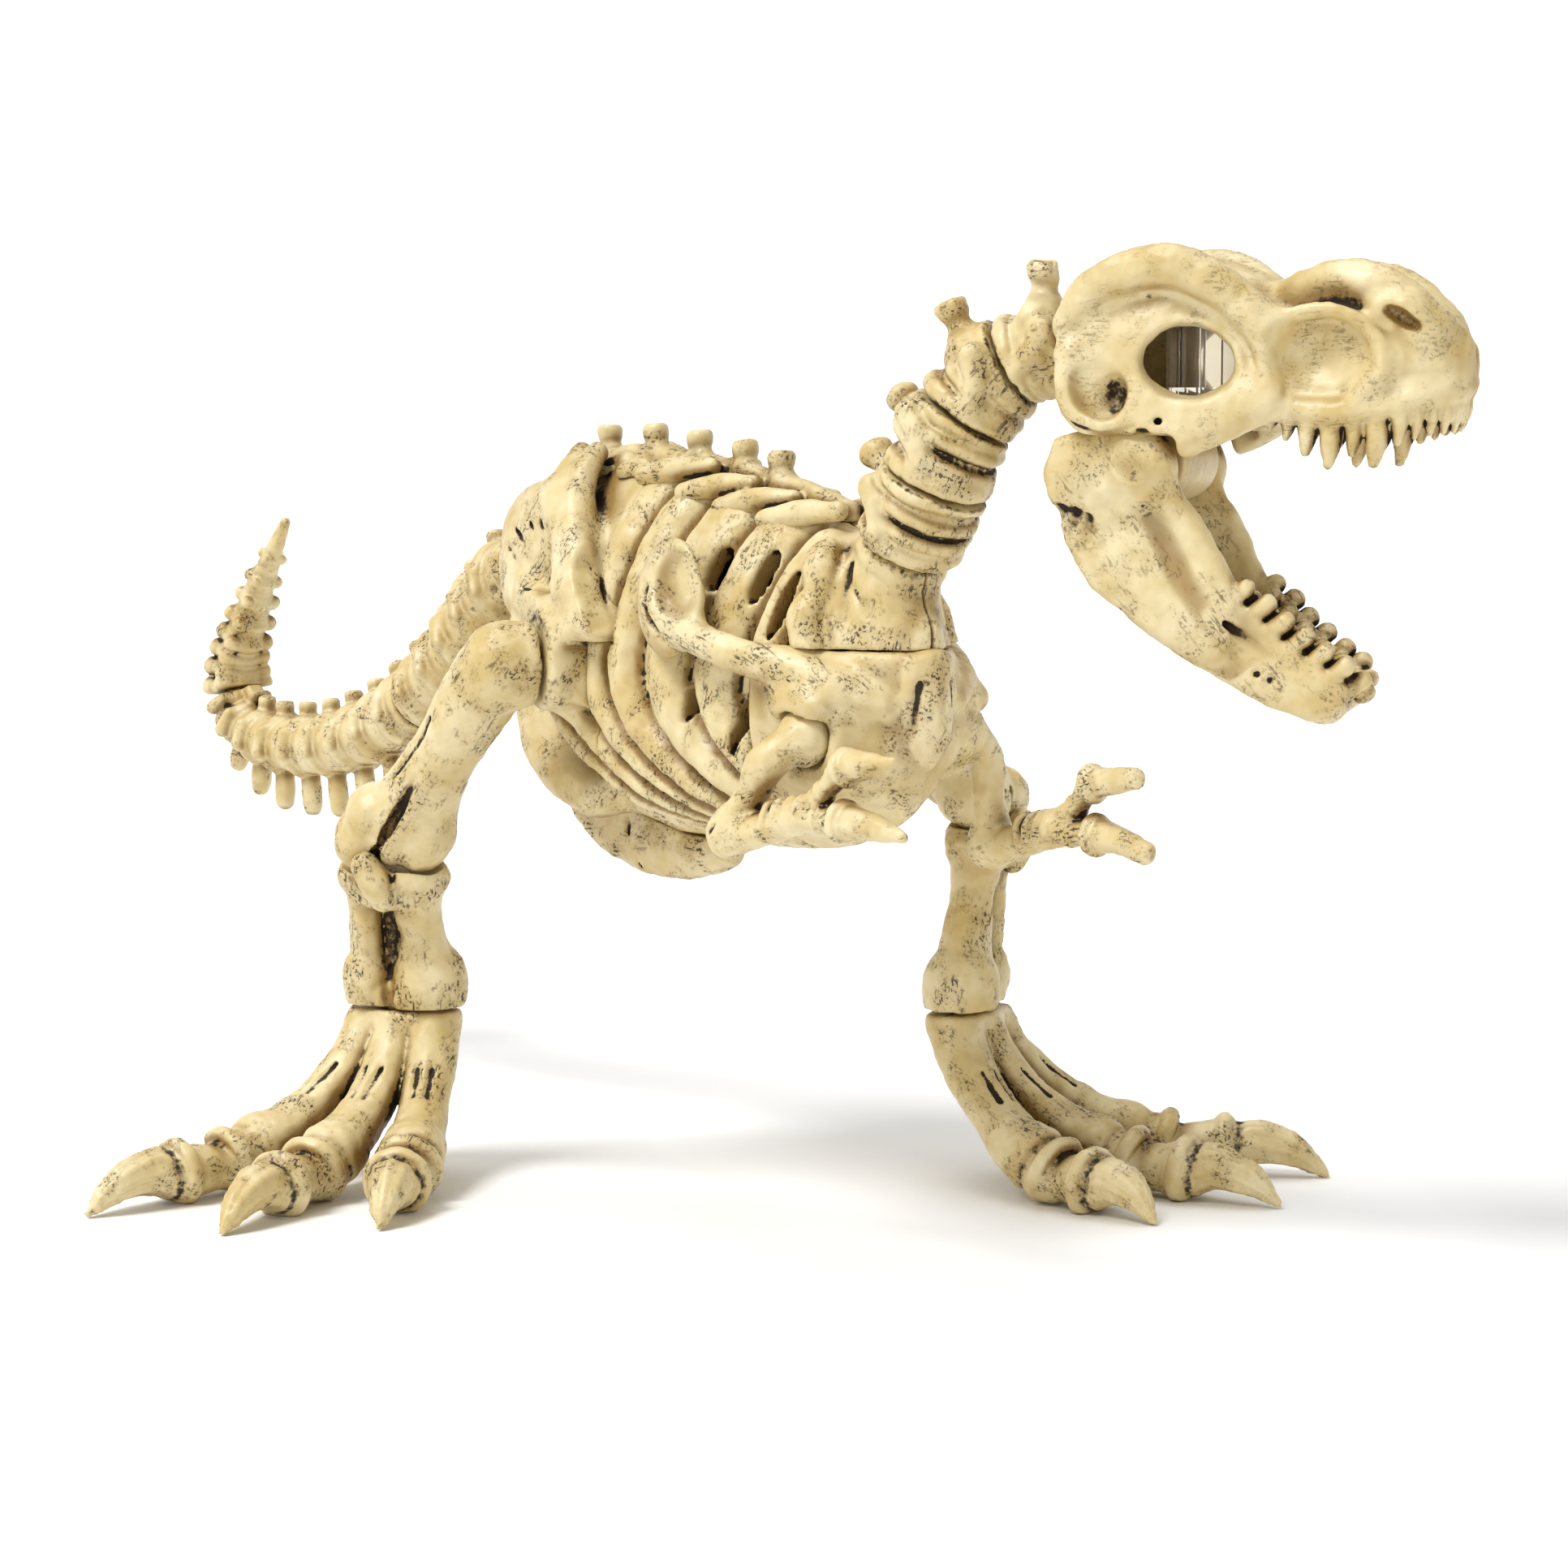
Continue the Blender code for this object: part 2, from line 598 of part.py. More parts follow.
# Lower jaw profile, closed, measured forward and up from its rear corner.
JAW_PROFILE = [(-3.5, -0.8), (-8.7, -8.2), (-4, -15), (9, -22), (20, -24.5), (35, -20.5), (52, -16), (66, -12),
               (73, -7), (75.5, 0), (73, 4), (66, 3), (55, 0), (45, -1), (34, 1.5), (24, 3.6), (12, 4.5), (3.6, 5.6)]
JAW_HALF_WIDTH = 19.0       # at the rear
CHIN_HALF_WIDTH = 7.5
JAW_WALL = 4.4
LOWER_TEETH = ((45, 3.5), (50, 4.5), (55, 5), (60, 5), (64.5, 5), (68.5, 4.5), (72, 4))


def jaw_width(forward):
    """Half the jaw's width over its outer faces, at a distance from the rear."""
    t = min(max(forward / 78, 0), 1)
    return JAW_HALF_WIDTH + (CHIN_HALF_WIDTH - JAW_HALF_WIDTH) * t ** 0.9


def make_jaw():
    """The lower jaw: two plate-like sides meeting in a blunt chin with teeth."""
    sides = []
    for side in (RIGHT, LEFT):
        lean = math.atan2(JAW_HALF_WIDTH - CHIN_HALF_WIDTH, 78)
        upright = (Matrix.Translation((0, side * (JAW_HALF_WIDTH - JAW_WALL / 2), 0))
                   @ Matrix.Rotation(-side * lean, 4, "Z") @ Matrix.Rotation(math.radians(90), 4, "X"))
        sides.append(plate(JAW_PROFILE, JAW_WALL, upright))
    chin = ball((66, 0, -3.8), (10.0, 9, 6.8), 12, 8)
    floor = ball((52, 0, -13), (24, 9, 3.4), 10, 6)
    teeth = []
    for side in (RIGHT, LEFT):
        for forward, length in LOWER_TEETH:
            out = side * (jaw_width(forward) - JAW_WALL / 2) * (1.0 if forward < 67 else 0.8)
            root = 0.5 if forward < 62 else 2.5
            teeth.append(rod([(forward, out, root - 2.5), (forward + 0.6, out, root + 0.5 * length),
                              (forward + 0.3, out, root + length)], [1.9, 1.6, 0.5], 4))
    out = Vector((0, 26, 0))
    pin_holes = [drum(JAW_EYE - out, JAW_EYE + out, PIN_RADIUS + GAP, sides=10)]
    jaw = combine([sides[0], sides[1], chin, floor, *teeth], pin_holes)
    jaw.data.transform(JAW)
    return jaw


def make_jaw_pin():
    """The cross pin through the throat drum and both jaw sides, with a head each end."""
    reach = Vector((0, JAW_HALF_WIDTH + 0.2, 0))
    solids = [drum(JAW_EYE - reach, JAW_EYE + reach, PIN_RADIUS, sides=10)]
    for side in (RIGHT, LEFT):
        solids.append(drum(JAW_EYE + side * reach, JAW_EYE + side * (reach + Vector((0, 1.2, 0))), 3.6, 3.0, 12))
    pin = combine(solids)
    pin.data.transform(JAW)
    return pin


# --------------------------------------------------------------------- tail

def make_tail(first, last, lead, trail):
    """One tail moulding: vertebra rings with spines above and chevrons below."""
    centres = [point for point, _ in TAIL]
    points, radii = [], []
    start, end = centres[first], centres[last]
    dense = []
    for i in range(first, last):
        (a, ra), (b, rb) = TAIL[i], TAIL[i + 1]
        steps = 2
        for k in range(steps):
            t = k / steps
            dense.append((a.lerp(b, t), ra + (rb - ra) * t))
    dense.append((end, TAIL[last][1]))
    n_start, n_end = tangent(centres, first), tangent(centres, last)
    dense[0] = (start + n_start * GAP / 2, dense[0][1])
    if trail:
        dense[-1] = (end - n_end * GAP / 2, dense[-1][1])
    for k, (point, radius) in enumerate(dense):
        points.append(point)
        radii.append(radius * (1.0 if k % 2 == 0 else 0.86))
    solids = [rod(points, radii, 8)]
    line = [point for point, _ in dense]
    for k in range(1, len(dense) - 1):
        point, radius = dense[k]
        along = tangent(line, k)
        above = Vector((along.z, 0, -along.x))
        if radius < 3.0:
            continue
        solids.append(rod([point + above * radius * 0.6, point + above * (radius + 3.0)], [2.4, 1.9], 4))
        if radius < 9.6:
            solids.append(rod([point - above * radius * 0.6, point - above * (radius + 4.0)], [2.4, 1.4], 4))
    holes = [drum(start + n_start * GAP / 2, start - n_start * 20, 22, sides=8)]
    if trail:
        holes.append(drum(end - n_end * GAP / 2, end + n_end * 20, 22, sides=8))
        holes.append(drum(end - n_end * (PEG_LENGTH + 1.5), end + n_end * 2, 3.4 + GAP, sides=10))
    body = combine(solids, holes)
    if lead:
        peg = drum(start + n_start * 2.0, start - n_start * PEG_LENGTH, lead, sides=10)
        body = combine([body, peg])
    return body


# --------------------------------------------------------------------- legs

SHANK_GAP = 0.4             # play round the condyles, all the way round
CONDYLE = (8.4, 7.4, 8.4)   # half sizes of one knee knuckle: fore, across, up
CONDYLE_OUT = 7.6           # from the middle of the knee


def leg_frame(point, yaw):
    """A frame at a point on the leg, X the way that part of the leg faces."""
    return Matrix.Translation(point) @ Matrix.Rotation(yaw, 4, "Z")


def make_femur(side):
    """The thigh bone: a drum head at the hip and two condyles at the knee."""
    hip, knee, axis = HIP[side], KNEE[side], HIP_AXIS[side]
    frame = leg_frame((0, 0, 0), LEG_YAW[side])
    across = frame @ Vector((0, 1, 0))
    head = hip + axis * 6.5
    toward = (knee - head).normalized()
    disc = drum(hip - axis * (3 - GAP), hip + axis * 10, 10.8, 8.5, 14)
    peg = drum(hip + axis * 1, hip - axis * 13, PEG_RADIUS, sides=10)
    shaft = rod(
        [head, head + toward * 14, head.lerp(knee, 0.5), knee - toward * 15, knee - toward * 3],
        [9.4, 9.2, 8.0, 8.8, 9.0], 10)
    condyles = [
        ball(knee + across * CONDYLE_OUT * s, CONDYLE, 12, 8, frame)
        for s in (-1, 1)]
    return combine([shaft, disc, peg, *condyles], [])


def make_shank(side):
    """The shin: tibia and fibula side by side, cupped over the condyles."""
    knee, ankle = KNEE[side], ANKLE[side]
    frame = leg_frame((0, 0, 0), LEG_YAW[side])
    across, forward = frame @ Vector((0, 1, 0)), frame @ Vector((1, 0, 0))
    down = (ankle - knee).normalized()
    foot = ankle - down * GAP / 2
    top = knee + down * 9
    inner = -side
    tibia = rod(
        [top + across * inner * 5.0, knee + down * 18 + across * inner * 5.5, knee + down * 25 + across * inner * 6,
         foot - down * 8 + across * inner * 7, foot + across * inner * 6.0],
        [8.0, 6.4, 5.8, 9.6, 8.4], 10)
    fibula = rod(
        [top - across * inner * 8.5, knee + down * 18 - across * inner * 8.5,
         foot - down * 9 - across * inner * 8.5, foot - across * inner * 8.0],
        [5.8, 4.3, 7.2, 6.4], 8)
    head = ball(knee + down * 10.5, (8.6, 14.6, 6.0), 12, 8, frame)
    kneecap = ball(knee + down * 10 + forward * 7.0, (3.4, 5.0, 6.5), 8, 6, frame)
    bridge = drum(foot - down * 7, foot, 7.6, 7.4, 12)
    cup = [
        ball(knee + across * CONDYLE_OUT * s, [r + SHANK_GAP for r in CONDYLE], 12, 8, frame)
        for s in (-1, 1)]
    axle = drum(knee - across * 9, knee + across * 9, CONDYLE[0] + SHANK_GAP + 0.6, sides=16)
    sole = block(ankle - UP * (20 - GAP / 2), (80, 80, 40))
    peg_hole = drum(ankle - UP, ankle + UP * 7.5, PEG_RADIUS + GAP, sides=10)
    return combine([tibia, fibula, head, kneecap, bridge], [*cup, axle, sole, peg_hole])


FLOOR = -3.0            # the ground the soles rest on, in the design frame


def toe_points(start, tip):
    """Joint points of one toe from the metatarsal end to the claw tip."""
    flat = Vector((tip.x - start.x, tip.y - start.y, 0))
    return [
        (start, 6.6), (start + flat * 0.18 - UP * 15, 5.8),
        (start + flat * 0.42 + UP * (FLOOR + 11.0 - start.z), 7.6),
        (start + flat * 0.52 + UP * (FLOOR + 7.0 - start.z), 6.0),
        (start + flat * 0.67 + UP * (FLOOR + 5.9 - start.z), 7.2),
        (start + flat * 0.75 + UP * (FLOOR + 6.2 - start.z), 5.6)]


def make_foot(side):
    """The foot: three metatarsals from one flat collar, three clawed toes."""
    ankle = ANKLE[side]
    frame = leg_frame(ankle, FOOT_YAW[side])
    top = ankle - UP * GAP / 2
    collar = loft([
        ellipse(top - UP * drop, frame.col[1].xyz, frame.col[0].xyz, wide, deep, 12)
        for drop, wide, deep in ((9, 13.5, 7.0), (3, 15.2, 8.6), (0, 14.6, 8.0))])
    solids = [collar]
    for k, length in enumerate(TOE_LENGTHS):
        turn = side * (k - 1) * TOE_SPLAY
        tip = frame @ (Matrix.Rotation(turn, 4, "Z") @ Vector((length, 0, 0)))
        tip.z = FLOOR + 1.0
        start = frame @ Vector((1.0 if k == 1 else 0.0, side * (k - 1) * 8.6, -5.0))
        joints = toe_points(start, tip)
        solids.append(rod([p for p, _ in joints], [r for _, r in joints], 8))
        claw_root = joints[-1][0] + UP * 0.0
        claw_mid = claw_root.lerp(tip, 0.5) + UP * 2.0
        solids.append(rod([claw_root, claw_mid, tip], [5.4, 4.2, 0.7], 8))
    peg = drum(top - UP * 3, top + UP * 6, PEG_RADIUS, sides=10)
    floor = block((ankle.x, ankle.y, FLOOR - 20), (300, 300, 40))
    body = combine(solids, [floor])
    return combine([body, peg])


# --------------------------------------------------------------------- arms

def make_arm(side):
    """One arm, moulded whole: ball shoulder, bent elbow and two fingers."""
    shoulder, elbow = SHOULDER[side], ELBOW[side]
    out = Vector((0, side, 0))
    head = shoulder + out * 2.5
    humerus = rod([head + out * 2.0, head.lerp(elbow, 0.32) + out * 5.0, head.lerp(elbow, 0.65) + out * 2, elbow],
                  [4.6, 5.0, 4.2, 5.2], 8)
    knob = ball(head, 6.6, 12, 8)
    wrist = elbow + Vector((25, -side * 2.0, 5.0))
    forearm = rod([elbow + Vector((-1, 0, -1.5)), elbow + Vector((12, -side * 0.5, 1.0)), wrist],
                  [5.8, 4.4, 4.8], 8)
    fingers = [
        rod([wrist, wrist + Vector((9, 0, 7.5)), wrist + Vector((14, -side, 12)), wrist + Vector((29, -side * 2, 14))],
            [3.8, 3.4, 4.4, 2.0], 8),
        rod([wrist, wrist + Vector((9, 0, -0.5)), wrist + Vector((15, 0, -0.6)),
             wrist + Vector((34, -side * 2, -2.5))],
            [4.4, 4.0, 4.8, 2.0], 8)]
    return combine([humerus, knob, forearm, *fingers])


# ----------------------------------------------------------------- assembly

def build():
    """Makes every named piece, each with its origin on the joint it turns on."""
    rib_cage, pelvis, skull = make_rib_cage(LEFT), make_pelvis(LEFT), make_skull(LEFT)
    halves = {
        LEFT: (rib_cage, pelvis, skull),
        RIGHT: (mirrored(rib_cage), mirrored(pelvis), mirrored(skull))}
    for side in (RIGHT, LEFT):
        name = SIDE_NAME[side]
        rib_cage, pelvis, skull = halves[side]
        skull.data.transform(HEAD)
        piece("rib_cage_" + name, rib_cage, TRUNK_PIVOT, BONE_PLASTIC)
        piece("pelvis_" + name, pelvis, TRUNK_PIVOT, BONE_PLASTIC)
        piece("skull_" + name, skull, NECK[4], BONE_PLASTIC)
        piece("arm_" + name, make_arm(side), SHOULDER[side] + Vector((0, side * 2.5, 0)), BONE_PLASTIC)
        piece("femur_" + name, make_femur(side), HIP[side], BONE_PLASTIC)
        piece("shank_" + name, make_shank(side), KNEE[side], BONE_PLASTIC)
        piece("foot_" + name, make_foot(side), ANKLE[side], BONE_PLASTIC)
    piece("backbone", make_backbone(), TRUNK_PIVOT, BONE_PLASTIC)
    piece("breastplate", make_breastplate(), TRUNK_PIVOT, BONE_PLASTIC)
    piece("pubic_keel", make_keel(), TRUNK_PIVOT, BONE_PLASTIC)
    for i in range(4):
        piece("neck_%d" % (i + 1), make_neck(i), NECK[i], BONE_PLASTIC)
    piece("eye_capsule", make_capsule(), NECK[4], CLEAR_PLASTIC)
    piece("throat_drum", make_throat_drum(), NECK[4], BONE_PLASTIC)
    piece("lower_jaw", make_jaw(), HEAD @ JAW_HINGE, BONE_PLASTIC)
    piece("jaw_pin", make_jaw_pin(), HEAD @ JAW_HINGE, BONE_PLASTIC)
    piece("tail_base", make_tail(0, TAIL_SEAMS[0], PEG_RADIUS, True), TAIL[0][0], BONE_PLASTIC)
    piece("tail_middle", make_tail(*TAIL_SEAMS, 3.4, True), TAIL[TAIL_SEAMS[0]][0], BONE_PLASTIC)
    piece("tail_tip", make_tail(TAIL_SEAMS[1], len(TAIL) - 1, 3.4, False), TAIL[TAIL_SEAMS[1]][0], BONE_PLASTIC)


def centre_over_origin():
    """Slides the whole figure so the middle of its box stands over the origin."""
    bpy.context.view_layer.update()
    corners = [o.matrix_world @ Vector(c) for o in figure.objects for c in o.bound_box]
    low = Vector([min(c[k] for c in corners) for k in range(3)])
    high = Vector([max(c[k] for c in corners) for k in range(3)])
    shift = Vector(((low.x + high.x) / 2, (low.y + high.y) / 2, low.z))
    for obj in figure.objects:
        obj.location -= shift
    return shift


build()
SHIFT = centre_over_origin()
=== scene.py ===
"""Posable tyrannosaur skeleton figure, moulded in bone-coloured plastic.

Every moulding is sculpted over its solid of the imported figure: bones, knobs and
rings are joined softly, grooves, pits and sockets are cut, and the whole is
skinned.  Lengths are in millimetres in the sculptor's frame (+X the way the
chest faces, +Y the animal's left, +Z up) until a moulding is cast.
"""

import json
import math

import bmesh
import bpy
import numpy as np
from mathutils import Matrix, Vector, noise


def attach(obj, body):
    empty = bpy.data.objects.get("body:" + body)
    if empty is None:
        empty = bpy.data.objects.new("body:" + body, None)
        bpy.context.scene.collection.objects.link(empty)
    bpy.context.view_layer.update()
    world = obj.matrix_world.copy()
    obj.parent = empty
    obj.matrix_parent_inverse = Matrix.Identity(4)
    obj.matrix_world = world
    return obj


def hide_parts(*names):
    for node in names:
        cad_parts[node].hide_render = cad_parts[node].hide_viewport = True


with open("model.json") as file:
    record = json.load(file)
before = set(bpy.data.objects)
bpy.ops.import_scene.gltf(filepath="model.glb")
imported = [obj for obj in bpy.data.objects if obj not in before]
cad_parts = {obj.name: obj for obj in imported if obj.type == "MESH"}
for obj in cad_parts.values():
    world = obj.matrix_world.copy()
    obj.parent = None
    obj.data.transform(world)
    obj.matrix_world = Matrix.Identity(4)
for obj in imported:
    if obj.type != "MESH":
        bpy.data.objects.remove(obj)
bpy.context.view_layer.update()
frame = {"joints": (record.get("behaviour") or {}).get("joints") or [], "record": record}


# ------------------------------------------------------------- rib cage
# Two thin half shells of cream plastic meet under the spine, with thick
# rounded ribs moulded on the wall.  How any moulding is placed, sculpted and
# coloured comes first, because this one is the first to need it.

MM = 0.001
RIGHT, LEFT = -1, 1
SIDE_NAME = {RIGHT: "right", LEFT: "left"}
UP = Vector((0, 0, 1))
HIP_PLACE = Vector((-34, 0, 131))       # midway between the hips, in the sculptor's frame

joints = {joint["name"]: joint for joint in frame["joints"]}
hip_middle = (Vector(joints["hip_right"]["pos_m"]) + Vector(joints["hip_left"]["pos_m"])) / 2
TO_FRAME = Matrix.Scale(MM, 4) @ Matrix.Translation(hip_middle / MM - HIP_PLACE)
TO_SCULPT = TO_FRAME.inverted()
BODY_OF = {part: body for body, parts in frame["record"]["behaviour"]["bodies"].items() for part in parts}


def joint_place(name):
    """Where a joint is, in the sculptor's frame."""
    return TO_SCULPT @ Vector(joints[name]["pos_m"])


def joint_axis(name):
    return Vector(joints[name]["axis"]).normalized()


NECK = [joint_place("neck_%d_twist" % i) for i in (1, 2, 3, 4)] + [joint_place("head_turn")]


# A block of clay is a grid of small cubes that holds the depth under the
# surface.  Shapes are pressed on or cut out softly, as in a moulded toy.

FAR = 50.0              # a depth that stands for open air
REACH = 6.0             # how far round a shape the grid is touched


def soft_min(a, b, blend):
    """The nearer of two distances, with a fillet of the given size between them."""
    overlap = np.maximum(blend - np.abs(a - b), 0.0) / blend
    return np.minimum(a, b) - overlap * overlap * blend * 0.25


def length(vectors):
    return np.sqrt(np.einsum("...i,...i->...", vectors, vectors))


class Clay:
    """Distances to a sculpted surface, negative inside it, on a grid."""

    def __init__(self, low, high, cell):
        self.low = np.array(low, dtype=np.float32)
        self.cell = cell
        shape = [int(math.ceil((b - a) / cell)) + 1 for a, b in zip(low, high)]
        self.depth = np.full(shape, FAR, dtype=np.float32)

    def patch(self, shape):
        """The part of the grid a shape can touch, and the distances there."""
        field, low, high = shape
        limit = np.array(self.depth.shape)
        first = np.floor((np.array(low) - REACH - self.low) / self.cell).astype(int).clip(0, limit)
        last = np.ceil((np.array(high) + REACH - self.low) / self.cell).astype(int).clip(0, limit)
        part = tuple(slice(a, b) for a, b in zip(first, last))
        if any(a >= b for a, b in zip(first, last)):
            return part, None
        axes = [self.low[k] + self.cell * np.arange(first[k], last[k], dtype=np.float32) for k in range(3)]
        return part, field(np.stack(np.meshgrid(*axes, indexing="ij"), -1)).astype(np.float32)

    def add(self, shape, blend=1.5):
        part, depth = self.patch(shape)
        if depth is not None:
            self.depth[part] = soft_min(self.depth[part], depth, blend)

    def cut(self, shape, blend=0.6):
        part, depth = self.patch(shape)
        if depth is not None:
            self.depth[part] = -soft_min(-self.depth[part], depth, blend)

    def read(self, points):
        """The depth at any points inside the grid."""
        place = (points - self.low) / self.cell
        first = np.floor(place).astype(int).clip(0, np.array(self.depth.shape) - 2)
        share = (place - first).clip(0, 1)
        total = np.zeros(len(points))
        for corner in ((i, j, k) for i in (0, 1) for j in (0, 1) for k in (0, 1)):
            weight = np.prod(np.where(corner, share, 1 - share), axis=1)
            total += weight * self.depth[tuple((first + corner).T)]
        return total

    def skin(self):
        """Points and four-sided faces over the clay's surface."""
        depth = self.depth
        inside = depth < 0
        spans = [n - 1 for n in depth.shape]
        corners = [(i, j, k) for i in (0, 1) for j in (0, 1) for k in (0, 1)]
        count = sum(
            inside[i:i + spans[0], j:j + spans[1], k:k + spans[2]].astype(np.int8) for i, j, k in corners)
        cells = np.argwhere((count > 0) & (count < 8))
        number = np.full(spans, -1, dtype=np.int64)
        number[tuple(cells.T)] = np.arange(len(cells))
        total = np.zeros((len(cells), 3))
        crossings = np.zeros(len(cells))
        for start in corners:
            for axis in range(3):
                if start[axis]:
                    continue
                end = tuple(1 if k == axis else start[k] for k in range(3))
                near = depth[tuple((cells + start).T)]
                far = depth[tuple((cells + end).T)]
                crossed = (near < 0) != (far < 0)
                part = np.where(crossed, near / np.where(crossed, near - far, 1), 0)
                place = np.array(start, dtype=float) + part[:, None] * (np.array(end) - start)
                total += place * crossed[:, None]
                crossings += crossed
        points = self.low + self.cell * (cells + total / crossings[:, None])
        faces = []
        for axis in range(3):
            one, two = [k for k in range(3) if k != axis]
            step = np.eye(3, dtype=int)
            ahead = np.roll(inside, -1, axis=axis)
            change = inside != ahead
            change[tuple(slice(-1, None) if k == axis else slice(None) for k in range(3))] = False
            spots = np.argwhere(change)
            spots = spots[(spots[:, one] > 0) & (spots[:, two] > 0)]
            spots = spots[(spots[:, one] < spans[one]) & (spots[:, two] < spans[two])]
            ring = [spots, spots - step[one], spots - step[one] - step[two], spots - step[two]]
            quads = np.stack([number[tuple(r.T)] for r in ring], -1)
            leaving = inside[tuple(spots.T)]
            turn = leaving if axis != 1 else ~leaving
            quads[~turn] = quads[~turn][:, ::-1]
            faces.append(quads)
        return points, np.concatenate(faces)


def basis(axis, near=UP):
    """A rotation whose Z runs along axis and whose X leans toward near."""
    z = Vector(axis).normalized()
    x = Vector(near) - z * Vector(near).dot(z)
    if x.length < 0.05:
        x = Vector((1, 0, 0)) - z * z.x
    x.normalize()
    return Matrix((x, z.cross(x), z)).transposed()


def tilt(degrees):
    """A turn that lowers the front end of a shape."""
    return Matrix.Rotation(math.radians(degrees), 3, "Y")


def smooth_line(points, radii, steps=4):
    """A curve through a bone's joint points, with its radius as a fourth number."""
    knots = np.array([(*p, r) for p, r in zip(points, radii)], dtype=float)
    if len(knots) < 3:
        return knots
    padded = np.vstack([2 * knots[0] - knots[1], knots, 2 * knots[-1] - knots[-2]])
    line = []
    for a, b, c, d in zip(padded, padded[1:], padded[2:], padded[3:]):
        for t in np.arange(steps) / steps:
            line.append(0.5 * (2 * b + (c - a) * t + (2 * a - 5 * b + 4 * c - d) * t ** 2
                               + (3 * b - a - 3 * c + d) * t ** 3))
    return np.array(line + [knots[-1]])


def bone(points, radii, flutes=0, flute_depth=0.0):
    """A bone shaft along a curve; flutes are fine ridges that run its length."""
    line = smooth_line(points, radii).astype(np.float32)

    def field(p):
        best = np.full(p.shape[:-1], FAR, dtype=np.float32)
        for a, b in zip(line, line[1:]):
            along = b[:3] - a[:3]
            t = np.clip(((p - a[:3]) @ along) / (along @ along), 0, 1)
            off = p - a[:3] - t[..., None] * along
            reach = length(off) - (a[3] + (b[3] - a[3]) * t)
            if flutes:
                turn = np.array(basis(along)).astype(np.float32)
                angle = np.arctan2(off @ turn[:, 1], off @ turn[:, 0])
                reach = reach - flute_depth * np.cos(flutes * angle)
            best = np.minimum(best, reach)
        return best

    grow = line[:, 3].max()
    return field, line[:, :3].min(axis=0) - grow, line[:, :3].max(axis=0) + grow


def knob(centre, radii, turn=None):
    """A stretched ball."""
    if not hasattr(radii, "__len__"):
        radii = (radii,) * 3
    centre, radii = np.array(centre, dtype=np.float32), np.array(radii, dtype=np.float32)
    turn = np.array(turn if turn is not None else Matrix.Identity(3), dtype=np.float32)

    def field(p):
        local = (p - centre) @ turn
        near = length(local / radii)
        slope = length(local / (radii * radii))
        return near * (near - 1.0) / np.maximum(slope, 1e-5)

    grow = radii.max()
    return field, centre - grow, centre + grow


def drum(start, end, radius, rounding=0.3, end_radius=None):
    """A straight boss, peg or hole, with a rounded rim."""
    start, end = np.array(start, dtype=np.float32), np.array(end, dtype=np.float32)
    axis = end - start
    half = float(np.linalg.norm(axis)) / 2
    axis = axis / (2 * half)
    change = (radius if end_radius is None else end_radius) - radius

    def field(p):
        off = p - (start + end) / 2
        height = off @ axis
        across = length(off - height[..., None] * axis)
        rim = radius + change * np.clip(0.5 + height / (2 * half), 0, 1)
        u, v = across - rim + rounding, np.abs(height) - half + rounding
        outside = np.sqrt(np.maximum(u, 0) ** 2 + np.maximum(v, 0) ** 2)
        return np.minimum(np.maximum(u, v), 0) + outside - rounding

    grow = max(radius, radius + change)
    return field, np.minimum(start, end) - grow, np.maximum(start, end) + grow


def ring(centre, axis, radius, thickness):
    """A round bead that runs right round a bone."""
    centre = np.array(centre, dtype=np.float32)
    axis = np.array(Vector(axis).normalized(), dtype=np.float32)

    def field(p):
        off = p - centre
        height = off @ axis
        across = length(off - height[..., None] * axis) - radius
        return np.sqrt(across * across + height * height) - thickness

    return field, centre - radius - thickness, centre + radius + thickness


EVERYWHERE = (np.full(3, -1000.0), np.full(3, 1000.0))


def beyond(point, normal):
    """All that lies past a flat parting face."""
    point, normal = np.array(point, dtype=np.float32), np.array(Vector(normal).normalized(), dtype=np.float32)
    return (lambda p: -((p - point) @ normal), *EVERYWHERE)


def outside(shape):
    """All the room that a shape leaves."""
    return (lambda p: -shape[0](p), *EVERYWHERE)


# The plastic is moulded in cream, then rubbed with a dark brown wash that
# stays in the hollows and pits.  The eye sees satin bone with broken lines.
# Broad hollows also get painted shade, and the inside walls of the hollow
# shells are painted dark brown as shade.

def linear(code):
    """An sRGB hex colour as linear red, green, blue and alpha."""
    shares = [int(code[i:i + 2], 16) / 255 for i in (1, 3, 5)]
    return (*[s / 12.92 if s <= 0.04045 else ((s + 0.055) / 1.055) ** 2.4 for s in shares], 1.0)


def add_node(tree, kind, inputs=None, **settings):
    """Adds a shader node with its settings; an input is a number or another node's socket."""
    made = tree.nodes.new("ShaderNode" + kind)
    for key, value in settings.items():
        setattr(made, key, value)
    for key, value in (inputs or {}).items():
        if isinstance(value, bpy.types.NodeSocket):
            tree.links.new(value, made.inputs[key])
        else:
            made.inputs[key].default_value = value
    return made


MOTTLE_MM = 14.0        # broad cloudy variation of the cream
PATCH_MM = 9.0          # patches where more of the wash stayed
PIT_MM = 0.9            # pits; the real ones are half this and would not show
STREAK_MM = (8.0, 0.8)  # broken cracks: length along the bone, width across it
GRAIN_MM = 0.7          # the fine unevenness of the mould
BREAK_MM = 1.6          # how coarsely the wash in a fold is broken up

CREAM_LIGHT, CREAM_DEEP = linear("#E2D4AC"), linear("#CBB57F")
# The first brown is painted shade in broad hollows and also the colour of the wash's stained patches; the
# second is the wash, which also paints the inside walls of the shells dark as shade.
SHADE_AND_STAIN_BROWN, WASH_AND_SHADE_BROWN = linear("#8F6F35"), linear("#22170A")


